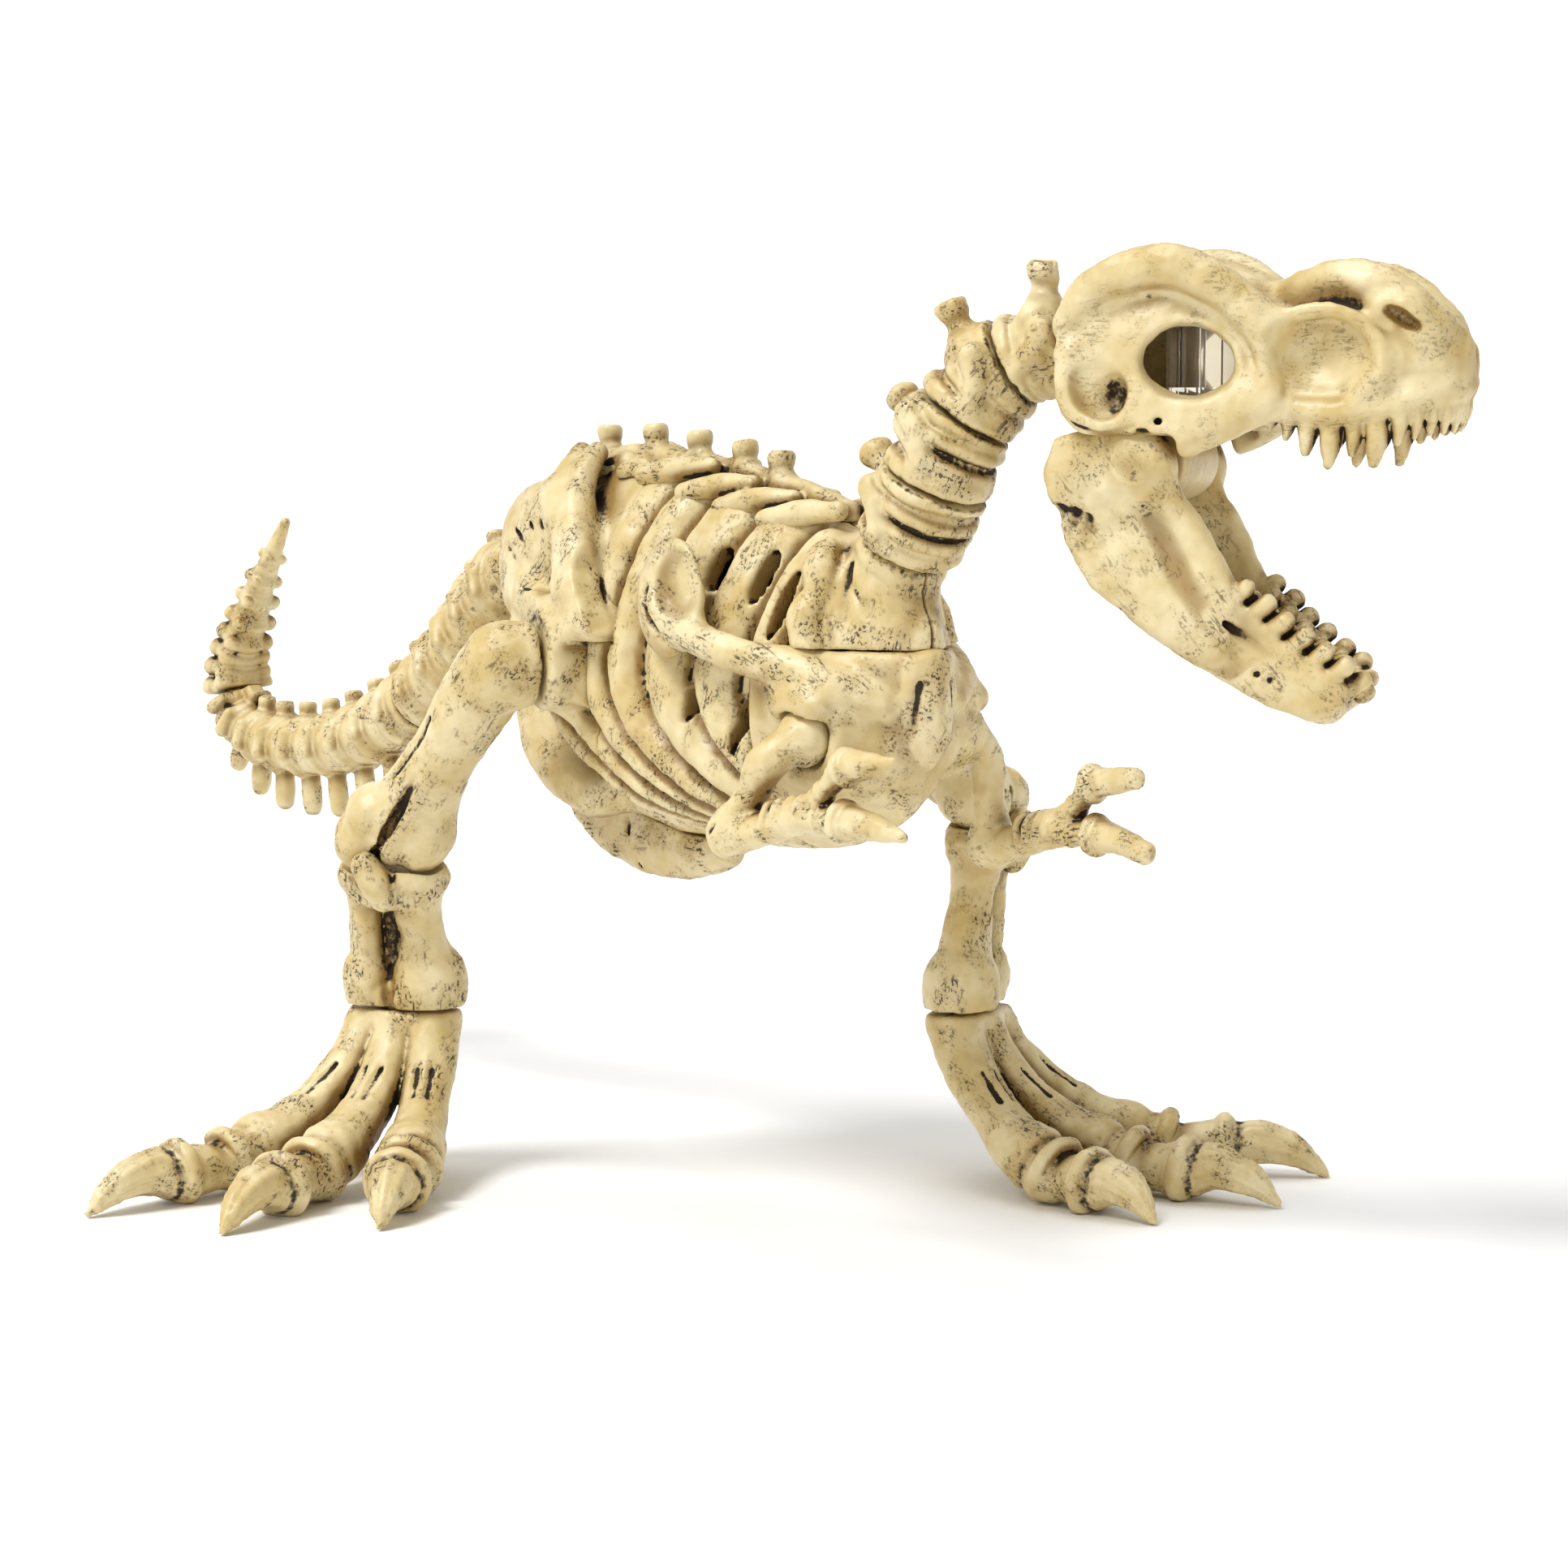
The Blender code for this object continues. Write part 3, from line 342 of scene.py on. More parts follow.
def aged_bone_plastic():
    """Satin cream plastic with a dark wash, painted shade in broad hollows and on the shells' inside walls;
    'crease', 'dip', 'wear' and 'grain' come from the sculpting.
    """
    material = bpy.data.materials.new("aged_bone_plastic")
    material.use_nodes = True
    tree = material.node_tree
    shader = tree.nodes["Principled BSDF"]
    grain = add_node(tree, "Attribute", attribute_name="grain").outputs["Vector"]
    crease_and_inner_shade = add_node(tree, "Attribute", attribute_name="crease_and_inner_shade").outputs["Fac"]
    painted_shade = add_node(tree, "Attribute", attribute_name="painted_shade").outputs["Fac"]
    wear = add_node(tree, "Attribute", attribute_name="wear").outputs["Fac"]

    def spots(size, detail, stretch=None):
        """A noise whose lumps are about size millimetres across."""
        place = grain
        if stretch:
            place = add_node(tree, "VectorMath", {0: grain, 1: stretch}, operation="MULTIPLY").outputs[0]
        return add_node(
            tree, "TexNoise", {"Vector": place, "Scale": 1 / size, "Detail": detail, "Roughness": 0.6}
        ).outputs["Fac"]

    def band(value, low, high):
        return add_node(
            tree, "MapRange", {"Value": value, "From Min": low, "From Max": high}).outputs["Result"]

    def maths(kind, a, b):
        return add_node(tree, "Math", {0: a, 1: b}, operation=kind, use_clamp=True).outputs[0]

    def mix(share, a, b):
        return add_node(tree, "Mix", {0: share, 6: a, 7: b}, data_type="RGBA").outputs[2]

    patches = maths("MULTIPLY", band(spots(PATCH_MM, 3.0), 0.48, 0.62), wear)
    pits = band(spots(PIT_MM, 2.0), 0.565, 0.62)
    streaks = band(spots(STREAK_MM[1], 3.0, (STREAK_MM[1] / STREAK_MM[0], 1, 1)), 0.58, 0.63)
    broken = spots(BREAK_MM, 4.0)
    specks = maths("MULTIPLY", maths("MAXIMUM", pits, streaks), patches)
    # This mask holds the wash in folds and also the painted shade on the inside walls of the shells.
    folds_and_inner_shade = add_node(tree, "Math", {0: crease_and_inner_shade, 1: broken}, operation="ADD").outputs[0]
    creases_and_inner_shade = band(folds_and_inner_shade, 0.92, 1.16)
    wash = maths("MAXIMUM", maths("MULTIPLY", specks, 0.9), creases_and_inner_shade)
    mottled = mix(band(spots(MOTTLE_MM, 3.0), 0.35, 0.65), CREAM_DEEP, CREAM_LIGHT)
    # Painted shade: broad hollows darken the mottled cream toward the brown.
    shaded = mix(maths("MULTIPLY", painted_shade, 0.85), mottled, SHADE_AND_STAIN_BROWN)
    stained = mix(maths("MULTIPLY", patches, maths("MULTIPLY", broken, 0.45)), shaded, SHADE_AND_STAIN_BROWN)
    colour = mix(maths("MULTIPLY", wash, 0.95), stained, WASH_AND_SHADE_BROWN)
    tree.links.new(colour, shader.inputs["Base Color"])
    roughness = add_node(
        tree, "MapRange", {"Value": wash, "To Min": 0.40, "To Max": 0.72}).outputs["Result"]
    tree.links.new(roughness, shader.inputs["Roughness"])
    relief = maths("SUBTRACT", maths("MULTIPLY", spots(GRAIN_MM, 2.0), 0.35), maths("MULTIPLY", specks, 0.5))
    bump = add_node(tree, "Bump", {"Strength": 0.55, "Distance": 0.35 * MM, "Height": relief})
    tree.links.new(bump.outputs["Normal"], shader.inputs["Normal"])
    shader.inputs["IOR"].default_value = 1.53
    shader.inputs["Specular IOR Level"].default_value = 0.45
    shader.inputs["Subsurface Weight"].default_value = 0.12
    shader.inputs["Subsurface Radius"].default_value = (0.0025, 0.0014, 0.0007)
    shader.inputs["Subsurface Scale"].default_value = 1.0
    return material


BONE_PLASTIC = aged_bone_plastic()
FOLD_MM = (1.0, 2.2)    # how far out of the surface a tight fold is felt for
HOLLOW_MM = (3.0, 5.0)  # and a broad hollow, which is darkened with painted shade
STAIN_FULL = 0.62       # how much of a fold's wash a stained edge holds
STAIN_REACH = 2.2       # how far the wash creeps from a joint or an edge that holds it
BROAD_LUMPS, FINE_LUMPS, FINE_SHARE = 0.16, 0.42, 0.55     # the mould's unevenness, in lumps per millimetre


def relaxed(points, edges, times):
    """Points moved toward the middle of their neighbours a number of times."""
    count = np.bincount(edges.ravel(), minlength=len(points)).clip(1)
    one, two = edges.T
    for _ in range(times):
        total = np.stack([
            np.bincount(one, points[two, k], len(points)) + np.bincount(two, points[one, k], len(points))
            for k in range(3)], -1)
        points = 0.5 * points + 0.5 * total / count[:, None]
    return points


def point_normals(points, quads):
    """Unit normals at the points of a four-sided mesh."""
    a, b, c, d = (points[quads[:, k]] for k in range(4))
    across = np.cross(c - a, d - b)
    total = np.stack([
        sum(np.bincount(quads[:, k], across[:, axis], len(points)) for k in range(4))
        for axis in range(3)], -1)
    return total / np.maximum(length(total), 1e-9)[:, None]


def closed_in(clay, points, normals, distances):
    """How much the surface is shut in by itself at some distances out: 0 in the open, 1 in a cleft."""
    step = 0.6
    slope = (clay.read(points + normals * step) - clay.read(points - normals * step)) / (2 * step)
    level = clay.read(points)
    shut = [1 - (clay.read(points + normals * d) - level) / (d * slope.clip(0.5, 1.3)) for d in distances]
    return np.mean(shut, axis=0).clip(0, 1)


def cast(part, clay, place=None, mirror=False, lumps=0.30, along=(1, 0, 0), stains=(), hollow=None,
         wear=1.0):
    """Turns clay into the finished moulding that stands for one solid of the figure."""
    points, quads = clay.skin()
    edges = np.concatenate([quads[:, [k, (k + 1) % 4]] for k in range(4)])
    points = relaxed(points, edges, 1)
    normals = point_normals(points, quads)
    seed = Vector((sum(map(ord, part)) % 97, 0, 0))
    swell = np.array([
        noise.noise(Vector(p) * BROAD_LUMPS + seed) + FINE_SHARE * noise.noise(Vector(p) * FINE_LUMPS + seed)
        for p in points])
    points = points + normals * (lumps * swell)[:, None]
    near = np.einsum("ij,ij->i", relaxed(points, edges, 4) - points, normals)
    crease_and_inner_shade = closed_in(clay, points, normals, FOLD_MM) * 1.25 + near.clip(-0.15, 0.4) * 2.4
    # Painted shade: how shut in the surface is 3 to 5 mm out sets how much the material darkens it.
    painted_shade = closed_in(clay, points, normals, HOLLOW_MM) * 1.9
    # Painted shade: the inside walls of a hollow shell, seen only through its openings, take the wash's full
    # dark brown.
    if hollow:
        crease_and_inner_shade = np.maximum(crease_and_inner_shade, 1.3 - hollow[0](points) / 1.5)
    for field, _, _ in stains:
        crease_and_inner_shade = np.maximum(crease_and_inner_shade, STAIN_FULL * (1.0 - field(points) / STAIN_REACH).clip(0, 1))
    grain = points @ np.array(basis(along, (0.3, 0.5, 0.8)))[:, [2, 0, 1]]
    turn = (TO_FRAME @ (place or Matrix())) @ Matrix.Diagonal((1, -1 if mirror else 1, 1, 1))
    turn = np.array(turn)
    points = points @ turn[:3, :3].T + turn[:3, 3]
    mesh = bpy.data.meshes.new(part + "_moulding")
    mesh.from_pydata(points.tolist(), [], (quads[:, ::-1] if mirror else quads).tolist())
    for name, kind, values in (
            ("crease_and_inner_shade", "FLOAT", crease_and_inner_shade.clip(0, 1)), ("painted_shade", "FLOAT", painted_shade.clip(0, 1)),
            ("wear", "FLOAT", np.full(len(points), wear)), ("grain", "FLOAT_VECTOR", grain)):
        store = mesh.attributes.new(name, kind, "POINT")
        store.data.foreach_set("vector" if kind == "FLOAT_VECTOR" else "value", values.ravel())
    mesh.shade_smooth()
    return finish_piece(part, mesh, BONE_PLASTIC)


def cast_pair(part, clay, **how):
    """Casts the left moulding and its mirror image."""
    cast(part + "_left", clay, **how)
    cast(part + "_right", clay, mirror=True, **how)


def finish_piece(part, mesh, material):
    """Puts a finished mesh in place of its solid, on the same body."""
    mesh.materials.append(material)
    made = bpy.data.objects.new(mesh.name, mesh)
    bpy.context.scene.collection.objects.link(made)
    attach(made, BODY_OF[part])
    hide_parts(part)
    return made


GAP = 0.3               # room between mouldings that touch
SEAM = 0.5              # each moulding stops this short of a turning joint's plane
PEG_RADIUS = 4.0
PEG_LENGTH = 5.0
TRUNK = np.array([      # place along X, centre height, half width, half height
    (-86, 156, 9, 11), (-74, 149, 18, 22.5), (-56, 141, 23, 37), (-36, 136.5, 25, 43.5),
    (-12, 133.5, 26, 44.5),
    (14, 132, 26, 43), (40, 130, 24, 40), (60, 130, 20, 34), (74, 131, 12, 25), (79, 132, 6, 15)],
    dtype=float)
PELVIS_FRONT = -21.0
ILIUM_LOW, ILIUM_FRONT, ILIUM_LEAN = 137.0, -9.0, -0.65    # the hip plate laps over the ribs above here
GIRDLE_BACK, GIRDLE_TOP = 42.0, 139.0
RIB_PLACES = (-53, -38, -22, -8.5, 10, 29, 45)      # where each rib crosses the flank
RIB_DEPTH = 5.4         # crest to floor
RIB_FLOOR = 2.9         # how far the floor between the ribs lies under the wall's surface
RIB_HALF = (6.2, 6.2, 5.8, 5.6, 7.6, 7.2, 5.2)      # half of each rib's width on the flank
NECK_ROOT = (NECK[1] - NECK[0]).normalized()


def stations(table, step=1.0, round_over=7):
    """A table of sections resampled finely and eased from one to the next."""
    x = np.arange(table[0, 0], table[-1, 0] + step, step)
    width = np.ones(round_over) / round_over
    columns = []
    for k in (1, 2, 3):
        values = np.interp(x, table[:, 0], table[:, k])
        padded = np.pad(values, round_over // 2, mode="edge")
        columns.append(np.convolve(padded, width, mode="valid"))
    return x, columns


def form(table, inset=0.0, narrowing=0.12, relief=None, ends=(0.0, 0.0)):
    """A body with egg-shaped sections; relief raises or sinks its surface."""
    xs, (centres, widths, heights) = stations(table)

    def field(p):
        x, y, z = p[..., 0], p[..., 1], p[..., 2]
        centre = np.interp(x, xs, centres)
        width = np.interp(x, xs, widths) - inset
        height = np.interp(x, xs, heights) - inset
        up = (z - centre) / height
        width = np.maximum(width, 1.0) * (1 - narrowing * np.clip(up, -1, 1))
        across = y / width
        near = np.sqrt(across * across + up * up)
        slope = np.sqrt((across / width) ** 2 + (up / height) ** 2)
        depth = near * (near - 1.0) / np.maximum(slope, 1e-5)
        if relief is not None:
            depth = depth - relief(x, np.degrees(np.arctan2(up, np.abs(across))))
        front = x - (xs[-1] + ends[1] - inset)
        back = (xs[0] - ends[0] + inset) - x
        return -soft_min(soft_min(-depth, -front, 6.0), -back, 3.0)

    top = (centres + heights).max()
    low = (centres - heights).min()
    wide = widths.max()
    return field, np.array((xs[0], -wide, low)), np.array((xs[-1], wide, top))


def rib_relief(x, angle):
    """How far the ribs stand out of the wall, by place along X and angle up the flank."""
    sweep = np.where(angle > 0, 0.12 * angle, 0.0165 * angle ** 2)
    slope = np.where(angle > 0, 0.12, 0.033 * np.abs(angle)) / 0.75
    relief = np.full(x.shape, -RIB_FLOOR, dtype=np.float32)
    for place, half_width in zip(RIB_PLACES, RIB_HALF):
        off = (x - place - sweep) / np.sqrt(1 + slope * slope)
        half = half_width * np.where(angle > 0, 1 + 0.002 * angle, 1 / np.sqrt(1 + 0.8 * slope * slope))
        band = 1 - np.abs(off / half) ** 2.6
        height = RIB_DEPTH * np.clip(band, 0.0, 1) ** 0.55
        relief = np.maximum(relief, height - RIB_FLOOR)
    belly = np.clip((angle + 66) / 16, 0, 1)
    spine = np.clip((80 - angle) / 14, 0, 1)
    chest = np.clip((62 - x) / 9, 0, 1)
    share = belly * spine * chest
    return relief * share + 0.4 * (1 - share)


def behind_ilium(grow):
    """The pelvis's share of the trunk, up to the leaning front edge of the hip plate."""
    def field(p):
        low = p[..., 0] - PELVIS_FRONT
        high = (p[..., 0] - ILIUM_FRONT - ILIUM_LEAN * (p[..., 2] - ILIUM_LOW)) * 0.84
        high = np.maximum(high, ILIUM_LOW - p[..., 2])
        return np.minimum(low, high) - grow
    return (field, *EVERYWHERE)


def girdle_room(grow):
    """The breastplate's share of the trunk."""
    def field(p):
        return np.maximum(GIRDLE_BACK - p[..., 0], p[..., 2] - GIRDLE_TOP) - grow
    return (field, *EVERYWHERE)


def flank(x, angle, rise=0.0):
    """A point on the trunk's left surface at a place along X and an angle up the flank."""
    xs, (centres, widths, heights) = stations(TRUNK)
    turn = math.radians(angle)
    width = np.interp(x, xs, widths) * (1 - 0.12 * math.sin(turn)) + rise
    height = np.interp(x, xs, heights) + rise
    return Vector((x, width * math.cos(turn), np.interp(x, xs, centres) + height * math.sin(turn)))


def slot(x, angle, tall):
    """A lens-shaped opening right through the wall between two ribs."""
    return knob(flank(x, angle), (1.7, 9.0, tall / 2), tilt(12))


rib_cage = Clay((-34, -1.5, 84), (86, 34, 182), 0.75)
rib_cage.add(form(TRUNK, relief=rib_relief, ends=(0, 2.0)))
rib_cage.add(drum(NECK[0] - 16 * NECK_ROOT, NECK[0] + NECK_ROOT, 9.8, 2.0), 6.0)
rib_cage.add(ring(NECK[0] - 3.2 * NECK_ROOT, NECK_ROOT, 8.6, 2.2), 1.5)
COLLAR_RIDGE = ((55, 60, 0.6), (56, 50, 1.4), (58, 38, 0.6), (57, 26, 1.4), (60, 14, 1.0))
collar_ridge = [flank(*spot) for spot in COLLAR_RIDGE]
rib_cage.add(bone(collar_ridge, [3.0, 4.4, 3.4, 4.2, 3.8]), 1.8)
for spots, radii in ((((63, 58, 1.0), (64.5, 40, 1.0), (66, 24, 1.0)), (0.5, 0.9, 0.6)),
                     (((66, 46, 0.9), (72, 34, 0.9), (77, 18, 0.9)), (0.3, 0.6, 0.3))):
    rib_cage.cut(bone([flank(*spot) for spot in spots], radii), 2.0)
trunk_hollow = form(TRUNK, inset=5.2)
rib_cage.cut(trunk_hollow, 0.8)
for place, angle, tall in ((49.5, 29, 18), (39.0, 38, 14), (21.5, 36, 12), (39.5, -8, 24), (20.5, -6, 16)):
    rib_cage.cut(slot(place, angle, tall), 0.8)
rib_cage.cut(drum(NECK[0] - 30 * NECK_ROOT, NECK[0] + 2 * NECK_ROOT, PEG_RADIUS + GAP))
rib_cage.cut(beyond(NECK[0] - SEAM * NECK_ROOT, NECK_ROOT), 0.5)
rib_cage.cut(behind_ilium(GAP / 2), 0.8)
rib_cage.cut(girdle_room(GAP / 2), 0.8)
rib_cage.cut(beyond((0, GAP / 2, 0), (0, -1, 0)), 0.3)
neck_seat = ring(NECK[0], NECK_ROOT, 11.0, 1.0)
cast_pair("rib_cage", rib_cage, lumps=0.4, along=(0.3, 0, 1), stains=(neck_seat,), hollow=trunk_hollow)


# --------------------------------------------------------------- pelvis
# Two half shells with the raised hip plates.  The plate has a thick front
# ridge, a dished face and a boss below that the thigh turns on.

HIP = {s: joint_place("hip_" + SIDE_NAME[s]) for s in (RIGHT, LEFT)}


def hip_axis(side):
    """Outward along the hip's own pin."""
    axis = joint_axis("hip_" + SIDE_NAME[side])
    return axis if axis.y * side > 0 else -axis


TAIL_ROOT = joint_place("tail_base_twist")
TAIL_BACK = joint_axis("tail_base_twist")
TAIL_BACK = TAIL_BACK if TAIL_BACK.x < 0 else -TAIL_BACK


def skirt_relief(x, angle):
    """Low ribs on the skirt under the hip plate."""
    share = np.clip((-angle - 2) / 10, 0, 1)
    return rib_relief(x, angle) * share + 0.3 * (1 - share)


pelvis = Clay((-90, -1.5, 90), (-4, 44, 192), 0.8)
pelvis.add(form(TRUNK, relief=skirt_relief))
pelvis.add(knob((-47, 21.5, 155), (23, 6.0, 21)), 5.0)
ridge = [(ILIUM_FRONT + 1 + ILIUM_LEAN * (z - ILIUM_LOW) - 3.5, y, z)
         for z, y in ((183, 11), (176, 18.5), (165, 25), (152, 29), (141, 30.5))]
pelvis.add(bone(ridge, [2.6, 3.6, 4.0, 4.2, 4.0]), 3.0)
pelvis.add(bone([Vector(point) + Vector((-8, -0.6, 0)) for point in ridge], [2.6, 3.4, 4.0, 4.4, 4.2]), 5.0)
pelvis.add(bone([(-68, 11, 126), (-61, 14, 113), (-50, 15.5, 104), (-36, 15, 98)], [6.0, 7.5, 8.0, 7.0]), 7.0)
pelvis.add(bone([(-38, 4, 180), (-52, 6, 174.5), (-66, 8, 166.5), (-76, 9, 158)], [3.0, 3.2, 3.0, 2.6]), 4.0)
pelvis.cut(knob((-45, 35.5, 158), (13, 8.5, 15), tilt(-24)), 5.0)
pelvis.add(bone([(-13, 29.5, 141), (-24, 29.5, 139), (-40, 28.0, 137.5), (-58, 24.5, 139)],
                [3.0, 2.6, 2.6, 2.2]), 3.5)
pelvis.add(drum(HIP[LEFT] - 22 * hip_axis(LEFT), HIP[LEFT] - 3 * hip_axis(LEFT), 13.0, 2.5, 11.5), 5.0)
pelvis.add(bone([(-62, 21, 152), (-50, 27, 147), (-38, 31, 144), (-26, 29, 139)], [3.5, 4.0, 4.2, 3.5]), 5.0)
pelvis.add(knob((-19, 26.5, 128), (5.0, 4.0, 8.5), tilt(-12)), 2.5)
pelvis.cut(knob((-18, 31.5, 124), (1.5, 2.4, 1.5)), 0.8)
for k in range(5):
    fan = math.radians(16 + 15 * k)
    tip = Vector((-40 - 25 * math.cos(fan), 27.0 - 1.2 * k, 146 + 25 * math.sin(fan)))
    pelvis.cut(bone([(-42, 30.5, 148 + 2 * k), tip], [0.55, 0.7]), 1.5)
pelvis.cut(trunk_hollow, 0.8)
pelvis.cut(outside(behind_ilium(-GAP / 2)), 0.8)
pelvis.cut(drum(HIP[LEFT] - 15 * hip_axis(LEFT), HIP[LEFT] + 2 * hip_axis(LEFT), PEG_RADIUS + GAP))
pelvis.cut(beyond(HIP[LEFT] - (3 + SEAM) * hip_axis(LEFT), hip_axis(LEFT)), 0.5)
pelvis.cut(drum(TAIL_ROOT - 6 * TAIL_BACK, TAIL_ROOT + 4 * TAIL_BACK, PEG_RADIUS + GAP))
pelvis.cut(beyond(TAIL_ROOT - TAIL_BACK * SEAM, TAIL_BACK), 0.5)
pelvis.cut(beyond((0, GAP / 2, 0), (0, -1, 0)), 0.3)
hip_seam = ring(HIP[LEFT] - 3 * hip_axis(LEFT), hip_axis(LEFT), 11.6, 0.6)
cast_pair("pelvis", pelvis, lumps=0.4, along=(0.7, 0, 0.7), stains=(hip_seam,), hollow=trunk_hollow)


# ------------------------------------------------------------- backbone
# One strip along the top: five blunt spines with flared heads and, on each
# side, shingled wings that lie along the back.

def add_spine(clay, foot, head, radii):
    """A blunt spine: a broad foot, a narrow waist and a flared head with a dished top."""
    rise = (head - foot).normalized()
    clay.add(bone([foot, foot.lerp(head, 0.5), head - rise * 1.5], [radii[0], radii[1], radii[1] + 0.3]), 2.2)
    clay.add(drum(head - rise * 3.4, head, radii[2] * 0.86, 1.0, radii[2]), 2.0)
    clay.cut(knob(head + rise * 1.1, radii[2] * 0.6), 1.0)


backbone = Clay((-68, -19, 150), (62, 19, 194), 0.6)
SPINES = ((-51, 9.0), (-30, 8.5), (-11, 8.5), (8.5, 8.5), (23.5, 8.5))
WING = ((-19, 178.5), (-2, 174.5), (14, 171.5), (32, 169.0))


def over_spine(x, rise):
    """A point above the trunk's top line."""
    return flank(x, 90, rise=rise)


backbone.add(bone([over_spine(x, 1.8) for x in range(-60, 57, 12)], [3.4] * 10), 1.0)
for place, tall in SPINES:
    foot = over_spine(place, 1.5)
    add_spine(backbone, foot, foot + Vector((-1.5, 0, tall)), (4.0, 2.5, 3.1))
for side in (RIGHT, LEFT):
    for place, height in WING:
        rear = Vector((place, side * 11.5, height - 1.2))
        nose = Vector((place + 21, side * 6.0, height + 1.2))
        backbone.add(bone([rear, rear.lerp(nose, 0.5) + UP * 0.6, nose], [2.7, 3.1, 2.3]), 1.6)
    for place in (-46, -33):
        backbone.add(bone([over_spine(place, 1.0) + Vector((0, side * 8, -3.0)),
                           over_spine(place + 14, 1.0) + Vector((0, side * 4, -1.5))], [2.6, 2.2]), 2.0)
backbone.cut(form(TRUNK, inset=-0.5), 0.4)
cast("backbone", backbone, lumps=0.3)


# ---------------------------------------------------------- breastplate
# The front shell of the chest with both shoulder sockets, moulded in one
# with the shoulder blades that lie back over the ribs.

SHOULDER_BALL = {s: joint_place("shoulder_" + SIDE_NAME[s]) for s in (RIGHT, LEFT)}

breastplate = Clay((4, -40, 84), (86, 40, 168), 0.8)
breastplate.add(form(TRUNK, inset=-1.3, ends=(0, 2.0)))
breastplate.cut(outside(girdle_room(-GAP / 2)), 2.5)
for side in (RIGHT, LEFT):
    out = Vector((0, side, 0))
    ball_place = SHOULDER_BALL[side]
    breastplate.add(drum(ball_place - 12 * out, ball_place - 1.4 * out, 10.6, 2.0), 5.0)
    breastplate.add(knob(ball_place + Vector((-1, side * 0.5, 7.5)), (10.5, 5.0, 5.0)), 3.0)
    breastplate.add(bone([(18, side * 31.0, 147), (30, side * 31.0, 141), (43, side * 28.8, 137.5),
                          (57, side * 23.0, 134.5), (68, side * 17.5, 131), (77, side * 11, 127)],
                         [5.2, 4.2, 4.0, 4.6, 4.0, 2.0]), 4.0)
    breastplate.add(knob((19.5, side * 30.4, 149.5), (12.6, 4.0, 14.5),
                         tilt(18)), 3.0)
    breastplate.cut(knob((27, side * 33.8, 154), (8, 3.4, 8), tilt(25)), 3.0)
    for k in range(14):
        spot = Vector((10.5 + (k * 7) % 11, side * 34.2, 142 + (k * 5) % 13 - 0.4 * ((k * 7) % 11)))
        breastplate.cut(knob(spot, (1.2, 1.4, 1.0)), 1.4)
breastplate.add(bone([(81.5, 0, 136), (80.5, 0, 122), (73, 0, 106), (62, 0, 97)], [2.0, 2.2, 2.0, 1.6]), 5.0)
for side in (RIGHT, LEFT):
    breastplate.cut(bone([(82, side * 4.5, 132), (80.5, side * 6.5, 120), (74, side * 7, 106)],
                         [0.6, 0.8, 0.5]), 1.5)
    breastplate.cut(bone([(75, side * 13.5, 117), (71, side * 16.5, 112), (64, side * 20, 106)],
                         [0.7, 0.9, 0.5]), 1.6)
breastplate.cut((form(TRUNK, inset=2.6)[0], *EVERYWHERE), 0.6)
for side in (RIGHT, LEFT):
    breastplate.cut(knob(SHOULDER_BALL[side], 7.6), 0.8)
cast("breastplate", breastplate, lumps=0.35, along=(0.9, 0, -0.3))


# ------------------------------------------------------------ pubic keel
# A boat-shaped blade under the belly, with a moulded joint line across it.

def outline_plate(outline, thickness, rounding, middle=None):
    """An upright moulded plate: an outline in X and Z given an even thickness across Y."""
    corners = np.array(outline, dtype=np.float32)

    def field(p):
        x, z = p[..., 0], p[..., 2]
        nearest = np.full(x.shape, 1e9, dtype=np.float32)
        inside = np.zeros(x.shape, dtype=bool)
        for a, b in zip(corners, np.roll(corners, -1, axis=0)):
            edge = b - a
            t = np.clip(((x - a[0]) * edge[0] + (z - a[1]) * edge[1]) / (edge @ edge), 0, 1)
            nearest = np.minimum(nearest, (x - a[0] - t * edge[0]) ** 2 + (z - a[1] - t * edge[1]) ** 2)
            spans = (a[1] > z) != (b[1] > z)
            if abs(edge[1]) > 1e-6:
                inside ^= spans & (x < edge[0] * (z - a[1]) / edge[1] + a[0])
        flat = np.where(inside, -1.0, 1.0) * np.sqrt(nearest)
        centre = 0.0 if middle is None else middle(x)
        u, v = flat + rounding, np.abs(p[..., 1] - centre) - thickness / 2 + rounding
        return (np.minimum(np.maximum(u, v), 0)
                + np.sqrt(np.maximum(u, 0) ** 2 + np.maximum(v, 0) ** 2) - rounding)

    reach = 26.0
    return field, np.array((corners[:, 0].min(), -reach, corners[:, 1].min())), \
        np.array((corners[:, 0].max(), reach, corners[:, 1].max()))


KEEL_OUTLINE = ((-68, 89), (-60, 84), (-50, 80), (-35, 76.5), (-17, 77), (2, 83), (6, 94),
                (-8, 97), (-28, 100), (-46, 104), (-58, 104), (-66, 97))
keel = Clay((-71, -10, 74), (9, 10, 108), 0.6)
keel.add(outline_plate(KEEL_OUTLINE, 6.5, 2.4))
keel.add(knob((-24, 0, 84), (27, 5.6, 6.6)), 4.0)
keel.add(bone([(-60, 0, 101), (-64, 0, 94), (-60, 0, 87), (-48, 0, 81.5)], [3.6, 3.9, 3.6, 3.2]), 1.5)
for side in (RIGHT, LEFT):
    keel.cut(bone([(-42, side * 4.4, 103), (-41, side * 4.2, 92), (-36, side * 3.6, 84),
                   (-33, side * 3.0, 77)],
                  [0.6, 0.7, 0.7, 0.6]), 1.0)
keel.cut(bone([(-41, 0, 76.5), (-33, 0, 75.5)], [0.8, 0.4]), 1.0)
keel.cut(form(TRUNK, inset=-1.0), 0.4)
cast("pubic_keel", keel, lumps=0.35)


# ----------------------------------------------------------------- neck
# Four short turning drums.  Each has raised rings, a spine with a flared
# head, two side wings, a plug below and a socket above.

